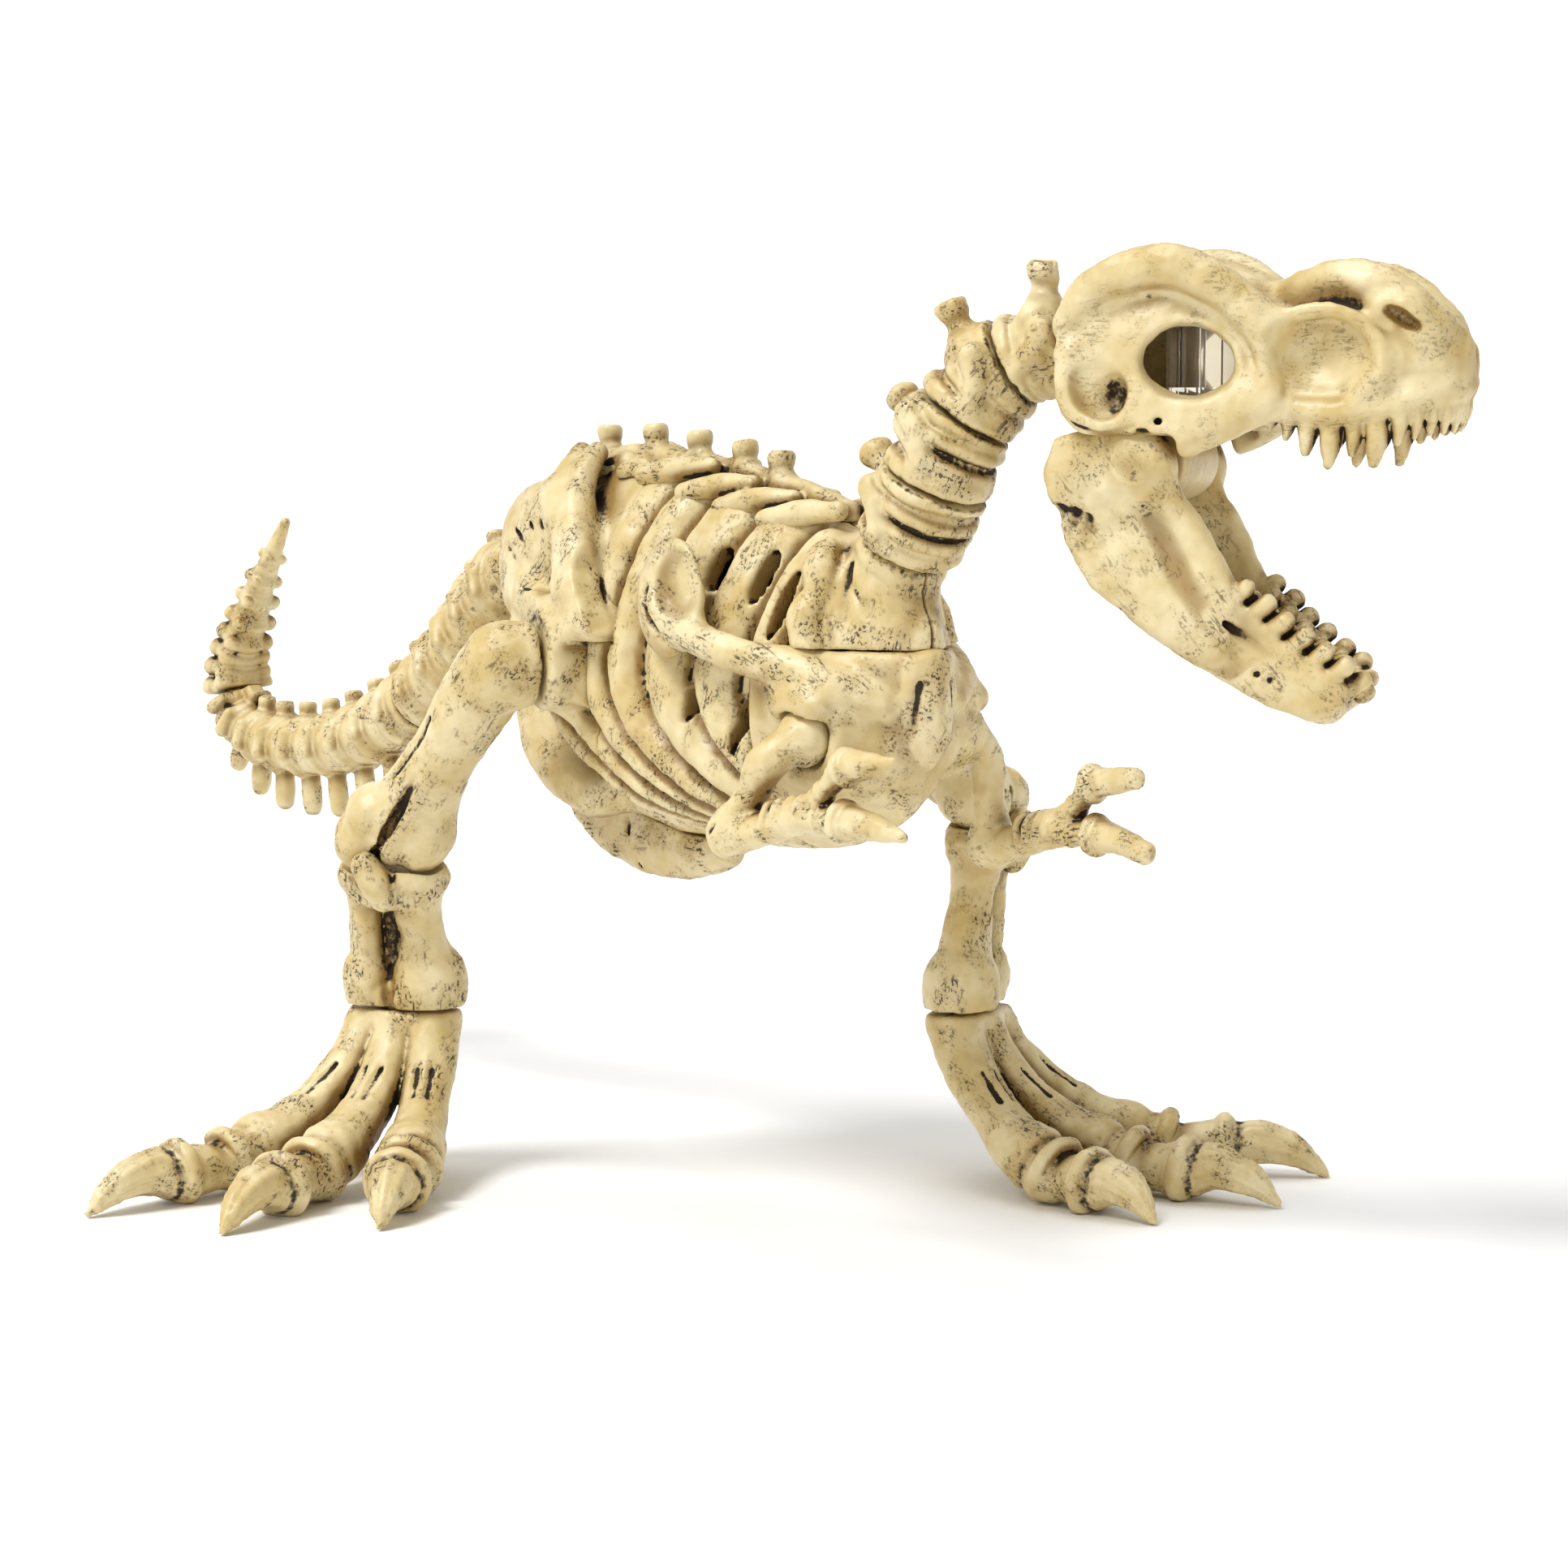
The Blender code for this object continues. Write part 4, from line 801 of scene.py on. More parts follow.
NECK_RADIUS = (12.8, 13.2, 12.4, 11.2, 9.4)
NECK_SPINES = (Vector((57.5, 1, 184.5)), Vector((69.5, -1, 197.5)), Vector((85, 1, 217.5)),
               Vector((105, 12, 226.0)))


def neck_axis(i):
    low, high = NECK[max(i - 1, 0)], NECK[min(i + 1, 4)]
    return (high - low).normalized()


for i in range(4):
    low, high = NECK[i], NECK[i + 1]
    n_low, n_high = neck_axis(i), neck_axis(i + 1)
    middle = (low + high) / 2
    run = (high - low).normalized()
    radius = (NECK_RADIUS[i] + NECK_RADIUS[i + 1]) / 2
    head = NECK_SPINES[i]
    back = (head - middle).normalized()
    across = run.cross(back).normalized()
    clay = Clay(middle - Vector((24, 20, 22)), middle + Vector((22, 20, 27)), 0.55)
    clay.add(bone([low, middle, high], [NECK_RADIUS[i] - 1.4, radius - 2.4, NECK_RADIUS[i + 1] - 1.4]), 1.0)
    for share, thick in ((0.14, 2.6), (0.42, 2.2), (0.66, 1.8), (0.90, 2.4)):
        lean = (n_low.lerp(n_high, share) + back * 0.10 * math.sin(9 * share + i)).normalized()
        wide = NECK_RADIUS[i] + (NECK_RADIUS[i + 1] - NECK_RADIUS[i]) * share - thick
        clay.add(ring(low.lerp(high, share), lean, wide, thick), 0.9)
    clay.add(bone([middle + back * 9 - across * 6, middle + back * 11, middle + back * 9 + across * 6],
                  [3.6] * 3), 3.0)
    add_spine(clay, middle + back * (radius - 2.5), head, (4.4, 2.9, 4.0))
    for side in (RIGHT, LEFT):
        wing = middle + across * side * (radius - 1.2)
        clay.add(bone([wing + back * 6 + run * 3.0, wing + back * 1.5 + run, wing - back * 2 - run * 3.5],
                      [3.2, 3.0, 2.4]), 1.4)
        clay.cut(knob(wing + across * side * 1.4 - back * 5.0 + run * 1.5, (1.6, 1.6, 2.4)), 1.2)
        clay.cut(knob(wing + across * side * 2.6 + back * 4.5 - run * 2.4, (1.5, 1.5, 1.5)), 1.0)
    clay.cut(beyond(low + n_low * SEAM, -n_low), 0.6)
    clay.cut(beyond(high - n_high * SEAM, n_high), 0.6)
    clay.cut(drum(high - n_high * (PEG_LENGTH + 1), high + n_high * 2, PEG_RADIUS + GAP))
    clay.add(drum(low + n_low * 2, low - n_low * PEG_LENGTH, PEG_RADIUS), 0.3)
    seams = [ring(low, n_low, NECK_RADIUS[i] - 0.5, 0.4), ring(high, n_high, NECK_RADIUS[i + 1] - 0.5, 0.4)]
    cast("neck_%d" % (i + 1), clay, lumps=0.5, along=run, stains=seams)


# ---------------------------------------------------------------- skull
# Two thin halves glued along the midline, with the brow ridges, the eye
# openings, the dished snout recesses and the upper teeth moulded on.

JAW_HINGE_PLACE = joint_place("jaw_open")
HEAD_YAW = math.radians(29)
JAW_HINGE = Vector((57, 0, 182.5))          # in the head's own frame
HEAD = (Matrix.Translation(JAW_HINGE_PLACE) @ Matrix.Rotation(HEAD_YAW, 4, "Z")
        @ Matrix.Translation(-JAW_HINGE))
SKULL = np.array([      # forward, centre height, half width, half height
    (37, 204, 12, 12), (42, 205, 20, 18), (52, 206, 22.5, 20), (66, 207, 21.5, 20.5), (76, 206, 17, 18.5),
    (84, 205.5, 13.5, 15.5), (98, 206, 13, 16), (110, 206, 12.5, 14), (119, 205, 10.5, 11),
    (125, 203.5, 6, 6.5)],
    dtype=float)
EYE = Vector((68, 20, 204.5))
UPPER_TEETH = (         # forward, out, length, radius at the root
    (84.5, 10.8, 3.0, 1.6), (88.2, 11.0, 4.4, 1.9), (92.6, 11.0, 7.0, 2.4), (97.6, 11.0, 9.0, 2.7),
    (102.8, 10.8, 7.0, 2.3), (107.4, 10.4, 9.4, 2.7), (112.2, 9.6, 6.4, 2.2), (115.6, 8.4, 6.4, 1.7),
    (118.4, 7.0, 6.2, 1.6), (120.8, 5.2, 6.2, 1.6), (122.6, 3.2, 6.2, 1.6), (123.6, 1.0, 6.2, 1.5))


def block(centre, size, rounding=0.5):
    """A squared pocket or stem."""
    centre, half = np.array(centre, dtype=np.float32), np.array(size, dtype=np.float32) / 2 - rounding

    def field(p):
        off = np.abs(p - centre) - half
        return length(np.maximum(off, 0)) + np.minimum(off.max(axis=-1), 0) - rounding

    return field, centre - half - rounding, centre + half + rounding


skull = Clay((33, -1.5, 180), (129, 31, 233), 0.6)
skull.add(form(SKULL, narrowing=0.10, ends=(2, 1.5)))
skull.add(bone([(41, 17, 212), (46, 18, 219), (54, 18, 223), (63, 18, 224.5), (72, 17, 221.5),
                (80, 15, 215.5),
                (86, 13.5, 210)], [4.0, 4.4, 4.6, 4.8, 4.6, 4.2, 3.6]), 4.0)
skull.add(bone([(82, 15.5, 214), (85, 15.0, 208), (86, 14.4, 202), (85, 14.2, 196)],
               [3.8, 3.6, 3.2, 3.2]), 3.0)
skull.add(bone([(42, 19, 205), (45, 21, 195), (52, 20.5, 188.5), (64, 19.5, 187), (74, 17, 190),
                (84, 13.5, 194.5)],
               [4.0, 4.2, 4.0, 4.2, 3.8, 3.2]), 3.0)
skull.add(bone([(45, 17.0, 197), (55, 17.5, 194.5), (67, 16.5, 193.5), (79, 13.5, 196)],
               [4.6, 5.4, 5.4, 4.6]), 5.0)
skull.add(bone([(90, 5, 219.5), (100, 7, 221), (110, 7, 218.5), (118, 5, 212)], [4.0, 4.8, 4.6, 3.6]), 5.0)
skull.add(bone([(84, 11.4, 194.5), (96, 12.2, 193.2), (108, 11, 194.5), (117, 8.0, 197), (123, 3.0, 198.6),
                (124, -2, 198.8)], [2.6, 3.2, 3.2, 3.0, 2.6, 2.6]), 2.5)
skull.add(bone([(88, 14.5, 212.5), (98, 14.5, 214), (106, 13.5, 210), (109, 12.8, 203), (105, 13.2, 198)],
               [2.4, 2.6, 2.4, 2.4, 2.2]), 3.0)
skull.cut(knob((61, 27.5, 210), (17.5, 6.4, 10.5), tilt(-14)), 4.0)
skull.cut(knob((97.5, 18.0, 205.5), (11.5, 8.0, 8.4), tilt(6)), 3.5)
skull.cut(knob((95, 16.0, 204), (7.5, 5.0, 5.0)), 3.0)
nostril = knob((113.5, 12.9, 212.6), (4.6, 4.0, 1.9), tilt(32))
skull.add(bone([(108, 10.5, 215), (114, 10.8, 215), (118.5, 9.0, 210.5)], [2.6, 2.8, 2.2]), 2.5)
skull.cut(knob((52.5, 24.5, 196.5), (3.6, 7.0, 5.2), tilt(20)), 1.5)
skull.cut(knob((49, 24, 199), (5.5, 3.0, 6.0)), 3.0)
skull.cut(bone([(44, 22.5, 191), (50, 24, 188), (58, 24, 190)], [0.8, 1.0, 0.7]), 1.6)
for k in range(9):
    skull.cut(knob((60 + 3.1 * k, 22.4 - 1.05 * k + 0.4 * (k % 2), 189 + 0.55 * k + 1.6 * (k % 3)),
                   (1.1, 1.1, 0.8)), 1.2)
skull_hollow = form(SKULL, inset=5.2, narrowing=0.10)
skull.cut(skull_hollow, 0.8)
skull.cut(nostril, 1.2)
skull.cut(knob(EYE + Vector((0.5, 1, -0.5)), (10.4, 14, 8.2), tilt(8)), 1.6)
skull.add(knob((41, 0, 206), (4.5, 11, 11)), 1.0)
skull.cut(block((52, 0, 176), (44, 29, 32), 2.0), 1.2)
skull.cut(block((104, 0, 180), (60, 14, 26), 2.0), 1.2)
skull.cut(block((50, 17.5, 167.2), (34, 13, 42), 2.0), 2.2)
for forward, out, long, thick in UPPER_TEETH:
    root = 193.6 + max(0.0, forward - 104) * 0.2
    long *= 1.22
    skull.add(knob((forward, out + 0.4, root - 0.6), (thick + 0.5, 2.6, 2.2)), 1.0)
    skull.add(bone([(forward, out, root), (forward + 0.4, out + 0.3, root - 0.5 * long),
                    (forward - 0.3, out - 0.2, root - long - 0.4)], [thick, thick * 0.95, thick * 0.42]), 0.4)
skull.cut(drum((30, 0, 207), (41.5, 0, 207), PEG_RADIUS + GAP))
skull.cut(beyond((36.2 + SEAM, 0, 0), (-1, 0, 0)), 0.5)
skull.cut(beyond((0, GAP / 2, 0), (0, -1, 0)), 0.3)
pit_stain = knob((52.5, 19.0, 196.5), (2.0, 2.0, 3.6))
cast_pair("skull", skull, place=HEAD, lumps=0.4, stains=(pit_stain,), wear=0.45)


# ---------------------------------------------------------- eye capsule
# A clear moulded capsule with flat facets that fills both eye openings.

def clear_plastic():
    """Clear moulded plastic: sharp reflections and flat facets with faint flow marks."""
    material = bpy.data.materials.new("clear_moulded_plastic")
    material.use_nodes = True
    tree = material.node_tree
    shader = tree.nodes["Principled BSDF"]
    place = add_node(tree, "TexCoord").outputs["Object"]
    flow = add_node(tree, "TexNoise", {"Vector": place, "Scale": 1 / (6 * MM), "Detail": 2.0}).outputs["Fac"]
    bump = add_node(tree, "Bump", {"Strength": 0.25, "Distance": 0.15 * MM, "Height": flow})
    tree.links.new(bump.outputs["Normal"], shader.inputs["Normal"])
    gloss = add_node(tree, "MapRange", {"Value": flow, "To Min": 0.03, "To Max": 0.09}).outputs["Result"]
    tree.links.new(gloss, shader.inputs["Roughness"])
    tint = add_node(tree, "Mix", {0: flow, 6: linear("#FBF6EA"), 7: linear("#F1E9D8")},
                    data_type="RGBA").outputs[2]
    tree.links.new(tint, shader.inputs["Base Color"])
    shader.inputs["IOR"].default_value = 1.49
    shader.inputs["Transmission Weight"].default_value = 0.92
    return material


def facet_column(bm, radius, low, high, inward=False):
    """A closed faceted column behind the eyes, with its faces turned in for a hollow."""
    before = set(bm.faces)
    bmesh.ops.create_cone(bm, cap_ends=True, segments=CAPSULE_FACETS, depth=high - low, radius1=radius,
                          radius2=radius, matrix=Matrix.Translation((EYE.x, 0, (low + high) / 2)))
    if inward:
        for face in set(bm.faces) - before:
            face.normal_flip()


CAPSULE_FACETS = 12
capsule_bm = bmesh.new()
facet_column(capsule_bm, 10.5, 196.5, 213.5)
bmesh.ops.bevel(capsule_bm, geom=list(capsule_bm.edges), offset=0.5, segments=2, affect="EDGES")
facet_column(capsule_bm, 8.6, 198.5, 211.5, inward=True)
capsule_bm.transform(TO_FRAME @ HEAD)
capsule_mesh = bpy.data.meshes.new("eye_capsule_moulding")
capsule_bm.to_mesh(capsule_mesh)
capsule_bm.free()
finish_piece("eye_capsule", capsule_mesh, clear_plastic())


# --------------------------------------------- throat drum and jaw pin
# A smooth cross drum on a stem in the throat; a pin runs through it and
# both sides of the jaw.

PIN_RADIUS = 2.4
THROAT_OUT = Vector((0, 11.8, 0))
throat = Clay((45, -14, 170), (69, 14, 199), 0.6)
throat.add(drum(JAW_HINGE - THROAT_OUT, JAW_HINGE + THROAT_OUT, 9.0, 1.4))
throat.add(block(JAW_HINGE + UP * 9.2, (7, 18, 9), 1.0), 1.5)
throat.cut(ring(JAW_HINGE, (0, 1, 0), 9.2, 0.35), 0.4)
throat.cut(drum(JAW_HINGE - 2 * THROAT_OUT, JAW_HINGE + 2 * THROAT_OUT, PIN_RADIUS + GAP))
cast("throat_drum", throat, HEAD, lumps=0.05, wear=0.1)

PIN_OUT = Vector((0, 19.2, 0))
pin = Clay(JAW_HINGE - Vector((6, 24, 6)), JAW_HINGE + Vector((6, 24, 6)), 0.5)
pin.add(drum(JAW_HINGE - PIN_OUT, JAW_HINGE + PIN_OUT, PIN_RADIUS))
for side in (RIGHT, LEFT):
    pin.add(drum(JAW_HINGE + side * PIN_OUT, JAW_HINGE + side * (PIN_OUT + Vector((0, 1.2, 0))), 3.6,
                 0.5), 0.3)
cast("jaw_pin", pin, HEAD, lumps=0.05, wear=0.1)


# ----------------------------------------------------------- lower jaw
# One moulding: two deep thin sides that join in a blunt chin, with a pitted
# rear corner and a row of rounded teeth on each side.

JAW_OPEN = math.radians(48)
JAW_EYE = Vector((7.3, 0, 2.9))
JAW = (HEAD @ Matrix.Translation(JAW_HINGE) @ Matrix.Rotation(JAW_OPEN, 4, "Y")
       @ Matrix.Translation(-JAW_EYE))
JAW_PROFILE = ((-3.5, -0.8), (-8.7, -8.2), (-4, -15), (9, -22), (20, -24.5), (35, -20.5), (52, -16),
               (66, -12),
               (73, -7), (75.5, 0), (73, 4), (66, 3), (55, 0), (45, -1), (34, 1.5), (24, 3.6), (12, 4.5),
               (3.6, 5.6))
JAW_HALF_WIDTH, CHIN_HALF_WIDTH, JAW_WALL = 19.0, 7.5, 4.4
LOWER_TEETH = ((42, 2.8), (47.4, 3.8), (52.8, 3.6), (58.2, 4.2), (63.4, 3.8), (68.4, 4.2), (72.6, 3.6))


def jaw_middle(x):
    """How far out the middle of a jaw side stands, by distance from the rear corner."""
    t = np.clip(x / 78, 0, 1)
    return JAW_HALF_WIDTH + (CHIN_HALF_WIDTH - JAW_HALF_WIDTH) * t ** 0.9 - JAW_WALL / 2


jaw = Clay((-13, -25, -29), (80, 25, 11), 0.6)
for side in (RIGHT, LEFT):
    def out(x, more=0.0):
        return side * (jaw_middle(x) + JAW_WALL / 2 + more)

    jaw.add(outline_plate(JAW_PROFILE, JAW_WALL, 1.9, lambda x: side * jaw_middle(x)), 1.5)
    jaw.add(knob((1, out(1, -1.8), -8), (9, 3.6, 8.5)), 3.0)
    jaw.add(knob(JAW_EYE + Vector((0, side * 16.8, 0)), (9.5, 5.8, 8.0)), 4.0)
    jaw.add(knob((25, out(25, -2.0), -11), (26, 3.4, 9.5), tilt(4)), 4.0)
    jaw.add(bone([(4, out(4, -2), 3.0), (16, out(16, -1.8), 2.4), (30, out(30, -1.8), 0.6),
                  (42, out(42, -1.6), -3.0)],
                 [2.6, 2.6, 2.4, 2.2]), 2.5)
    jaw.add(bone([(36, out(36, -1.6), -17), (50, out(50, -1.8), -13), (62, out(62, -2), -10)],
                 [2.6, 3.0, 2.4]), 3.0)
    jaw.cut(knob((30, out(30, 1.9), -6.0), (13, 1.5, 2.0), tilt(12)), 3.5)
    jaw.cut(bone([(42, out(42, 0.4), -8), (50, out(50, 0.4), -5.6), (58, out(58, 0.3), -4.4)],
                 [0.7, 0.9, 0.5]), 1.4)
    for k in range(16):
        spot = (3 + (k * 7) % 15, out(9, 0.3), -19.5 + (k * 5) % 8 - 0.2 * ((k * 7) % 15))
        jaw.cut(knob(spot, (1.3, 0.9, 1.1)), 1.5)
    for k in range(6):
        jaw.cut(knob((58 + 2.8 * k, out(58 + 2.8 * k, 0.3), -9 + 1.3 * k), 0.8), 1.0)
jaw.add(knob((66, 0, -3.8), (10.0, 9, 6.8)), 3.0)
jaw.add(knob((49, 0, -13), (20, 9, 3.2), tilt(-14)), 2.0)
for side in (RIGHT, LEFT):
    for forward, tall in LOWER_TEETH:
        out_y = side * (float(jaw_middle(forward)) - max(0, forward - 68) * 0.7)
        root = np.interp(forward, (40, 56, 66, 74), (-0.5, 0.6, 3.2, 3.6))
        jaw.add(bone([(forward, out_y, root - 1.5), (forward + 0.5, out_y + 0.4 * side, root + tall - 1.2)],
                     [2.2, 2.3]), 0.5)
        jaw.add(knob((forward + 2.6, out_y - 2.8 * side, root + 0.4), (2.0, 1.8, 2.4)), 0.6)
jaw.cut(drum(JAW_EYE - PIN_OUT, JAW_EYE + PIN_OUT, PIN_RADIUS + GAP))
for side in (RIGHT, LEFT):
    jaw.cut(drum(JAW_EYE + PIN_OUT * side * 0.99, JAW_EYE + PIN_OUT * side * 1.085, 3.6 + GAP), 0.2)
pitted_corner = knob((7, 17, -19), (3, 2, 2))
cast("lower_jaw", jaw, JAW, lumps=0.45, stains=(pitted_corner,), wear=0.7)


# ----------------------------------------------------------------- arms
# Each arm is one moulding: a ball that snaps into the breastplate, a bent
# elbow, a wrinkled wrist and two blunt fingers.

ELBOW = {RIGHT: Vector((48, -32, 98)), LEFT: Vector((62, 34, 92))}
FINGER_END = {RIGHT: 1.3, LEFT: 2.6}        # the right fingers come to a point, the left end in knobs


def clay_round(points, below, above, cell):
    """A block of clay that holds some points with room to spare."""
    places = np.array([tuple(p) for p in points])
    return Clay(places.min(axis=0) - below, places.max(axis=0) + above, cell)


for side in (RIGHT, LEFT):
    out = Vector((0, side, 0))
    ball_place, elbow = SHOULDER_BALL[side], ELBOW[side]
    wrist = elbow + Vector((25, -side * 2.0, 5.0))
    arm = clay_round((ball_place, elbow, wrist), (12, 12, 12), (38, 14, 18), 0.5)
    arm.add(bone([ball_place + out * 2, ball_place.lerp(elbow, 0.32) + out * 5,
                  ball_place.lerp(elbow, 0.65) + out * 2,
                  elbow], [4.8, 4.6, 3.9, 5.0]), 1.0)
    arm.add(knob(ball_place, 6.6), 0.8)
    arm.add(knob(elbow + Vector((-2, 0, -1.5)), (5.6, 5.4, 6.2)), 2.0)
    arm.add(bone([elbow + Vector((-1, 0, -2.0)), elbow + Vector((12, -side * 0.5, 0.6)), wrist],
                 [5.2, 3.8, 4.4]), 1.6)
    for k in range(4):
        turn = elbow.lerp(wrist, 0.58 + 0.15 * k)
        arm.add(ring(turn, wrist - elbow, 3.1, 1.7), 0.5)
    upper = [wrist, wrist + Vector((8, 0, 6.5)), wrist + Vector((14, -side, 11.5)),
             wrist + Vector((20, -side, 12.5)),
             wrist + Vector((29, -side * 2, 14))]
    lower = [wrist, wrist + Vector((8, 0, -0.5)), wrist + Vector((14, 0, -0.4)),
             wrist + Vector((23, -side, -0.8)),
             wrist + Vector((33, -side * 2, -2.5))]
    arm.add(bone(upper, [3.4, 2.5, 3.6, 3.2, FINGER_END[side]]), 0.7)
    arm.add(bone(lower, [3.8, 3.1, 3.8, 3.3, FINGER_END[side]]), 0.7)
    arm.add(ring(upper[2], upper[3] - upper[2], 3.3, 1.5), 0.6)
    arm.add(ring(lower[2], (1, 0, 0), 3.5, 1.6), 0.6)
    for share in (0.45, 0.75):
        arm.add(ring(lower[0].lerp(lower[1], share), lower[1] - lower[0], 2.6, 1.4), 0.5)
        arm.add(ring(upper[0].lerp(upper[1], share + 0.1), upper[1] - upper[0], 1.9, 1.2), 0.5)
    arm.cut(bone([elbow + Vector((1, side * 5.6, 3.5)), elbow + Vector((-3, side * 5.6, -1.5))],
                 [0.6, 0.8]), 0.8)
    arm.cut(knob(wrist + Vector((4, side * 3.8, 3.0)), (2.0, 1.2, 1.2)), 1.0)
    cast("arm_" + SIDE_NAME[side], arm, lumps=0.4, along=wrist - elbow)


# ---------------------------------------------------------------- thighs
# A straight thick bone: a flat turning head at the hip and, below, two
# smooth knuckles with a deep groove between them that runs up the shaft.

KNEE = {s: joint_place("knee_" + SIDE_NAME[s]) for s in (RIGHT, LEFT)}
LEG_YAW = {RIGHT: math.radians(-50), LEFT: math.radians(32)}
CONDYLE, CONDYLE_OUT, SHANK_GAP = (8.4, 7.4, 8.4), 7.6, 0.4


def leg_directions(side):
    """The way a leg faces, and the way across it."""
    turn = Matrix.Rotation(LEG_YAW[side], 3, "Z")
    return turn @ Vector((1, 0, 0)), turn @ Vector((0, 1, 0)), turn


for side in (RIGHT, LEFT):
    hip, knee, axis = HIP[side], KNEE[side], hip_axis(side)
    forward, across, turn = leg_directions(side)
    head = hip + axis * 6.5
    toward = (knee - head).normalized()
    femur = clay_round((hip, knee, head), 22, 22, 0.7)
    femur.add(bone([head, head + toward * 14, head.lerp(knee, 0.5), knee - toward * 15, knee - toward * 3],
                   [9.6, 9.4, 8.4, 9.2, 9.0]), 1.0)
    femur.add(drum(hip - axis * 2.7, hip + axis * 10, 10.9, 2.5, 9.0), 4.0)
    for s, reach_up in ((-side, 4.0), (side, 9.0)):
        femur.add(knob(knee + across * CONDYLE_OUT * s, (8.3, 7.3, 8.3), turn), 0.3)
        femur.add(knob(knee + across * CONDYLE_OUT * s * 1.1 - toward * (reach_up - 1), (8.4, 7.2, 8.0),
                       turn), 1.0)
        femur.add(bone([knee + across * CONDYLE_OUT * s - toward * reach_up,
                        knee + across * 5.4 * s - toward * 16,
                        knee + across * 3.0 * s - toward * 32], [7.4, 5.4, 4.6]), 1.6)
    face = forward * 8.6
    femur.cut(bone([knee + face * 0.7 + toward * 6, knee + face * 0.9 - toward * 4,
                    knee + face * 1.02 - toward * 14,
                    knee + face * 1.12 + across * side * 2 - toward * 26,
                    knee + face * 1.15 + across * side * 3 - toward * 38],
                   [1.7, 1.8, 1.3, 0.9, 0.4]), 0.6)
    femur.cut(bone([head + axis * 7.6 + toward * 12, head + axis * 8.6 + toward * 24,
                    head + axis * 8.4 + toward * 38],
                   [0.5, 0.8, 0.5]), 1.5)
    femur.add(drum(hip + axis, hip - axis * 13, PEG_RADIUS), 0.4)
    femur.cut(beyond(hip - axis * (2.7 - SEAM), -axis), 0.1)
    femur.add(drum(hip + axis, hip - axis * 13, PEG_RADIUS), 0.2)
    knee_cleft = bone([knee + forward * 7 + toward * 4, knee + forward * 9 - toward * 12], [0.8, 0.2])
    hip_rim = ring(hip - axis * 2.7, axis, 10.6, 0.4)
    cast("femur_" + SIDE_NAME[side], femur, lumps=0.4, along=toward, stains=(knee_cleft, hip_rim))


# ----------------------------------------------------------------- shins
# Two bones side by side in one moulding, cupped over the knuckles, with a
# kneecap in front and swollen ends that meet the foot on a flat face.

ANKLE = {s: joint_place("ankle_" + SIDE_NAME[s]) for s in (RIGHT, LEFT)}

for side in (RIGHT, LEFT):
    knee, ankle = KNEE[side], ANKLE[side]
    forward, across, turn = leg_directions(side)
    down = (ankle - knee).normalized()
    foot = ankle - down * GAP / 2
    top = knee + down * 9
    big, small = across * -side, across * side
    shank = clay_round((knee, ankle), 20, 20, 0.65)
    shank.add(bone([top + big * 5.0, knee + down * 18 + big * 5.5, knee + down * 26 + big * 6.2,
                    foot - down * 13 + big * 7,
                    foot - down * 7 + big * 7.4, foot + big * 6.4], [8.2, 6.4, 5.7, 7.4, 9.8, 9.0]), 1.0)
    shank.add(bone([top + small * 8.5, knee + down * 18 + small * 8.6, foot - down * 15 + small * 8.8,
                    foot - down * 8 + small * 8.8, foot + small * 8.2], [6.0, 4.4, 4.6, 7.2, 6.6]), 1.2)
    web_top, web_low = knee + down * 16 - forward * 2.5, foot - down * 6 - forward * 2.5
    shank.add(bone([web_top + small * 2, web_low + small * 2], [2.6, 2.6]), 1.0)
    shank.add(knob(knee + down * 10.5, (8.8, 14.8, 6.0), turn), 2.5)
    shank.add(ring(knee + down * 15, down, 8.0, 1.4), 2.5)
    shank.add(drum(foot - down * 7, foot + down, 7.8, 2.0), 2.0)
    shank.cut(bone([knee + down * 17 + forward * 7.0 + small * 2.2,
                    foot - down * 14 + forward * 6.0 + small * 2.0,
                    foot + forward * 8.0 + small * 1.8], [1.2, 1.8, 1.9]), 0.8)
    shank.cut(bone([foot - down * 13 + forward * 9 + big * 5, foot - down * 6 + forward * 10.5 + big * 4,
                    foot - down * 1 + forward * 10 + big * 4], [0.4, 0.7, 0.6]), 1.0)
    for s in (RIGHT, LEFT):
        shank.cut(knob(knee + across * CONDYLE_OUT * s * 1.05, [r + SHANK_GAP + SEAM for r in CONDYLE],
                       turn), 0.4)
    shank.cut(drum(knee - across * 10, knee + across * 10, CONDYLE[0] + SHANK_GAP + SEAM, 0.5), 0.4)
    kneecap = [knee + down * 6.5 + forward * 8.6 + small * 4.5,
               knee + down * 11 + forward * 8.8 + small * 2.0,
               knee + down * 15.5 + forward * 7.8 + small * 0.5]
    shank.cut(bone([kneecap[0] + small * 4.5 + down, kneecap[2] + down * 2.5,
                    kneecap[0] + big * 7 + down * 2],
                   [0.8, 0.9, 0.8]), 0.6)
    shank.add(bone(kneecap, [3.8, 4.4, 3.4]), 0.4)
    shank.cut(beyond(ankle + UP * SEAM, -UP), 0.6)
    shank.cut(drum(ankle - UP, ankle + UP * 7.5, PEG_RADIUS + GAP))
    leg_cleft = bone([web_top + forward * 3.5 + small * 2, web_low + forward * 4 + small * 2], [1.4, 2.0])
    ankle_seam = bone([ankle - across * 13, ankle + across * 13], [0.3, 0.3])
    cast("shank_" + SIDE_NAME[side], shank, lumps=0.45, along=down, stains=(leg_cleft, ankle_seam))


# ----------------------------------------------------------------- feet
# One moulding each: three long foot bones from a flat collar, knuckled toes
# and three fluted claws, with the toe pads flat on the ground.

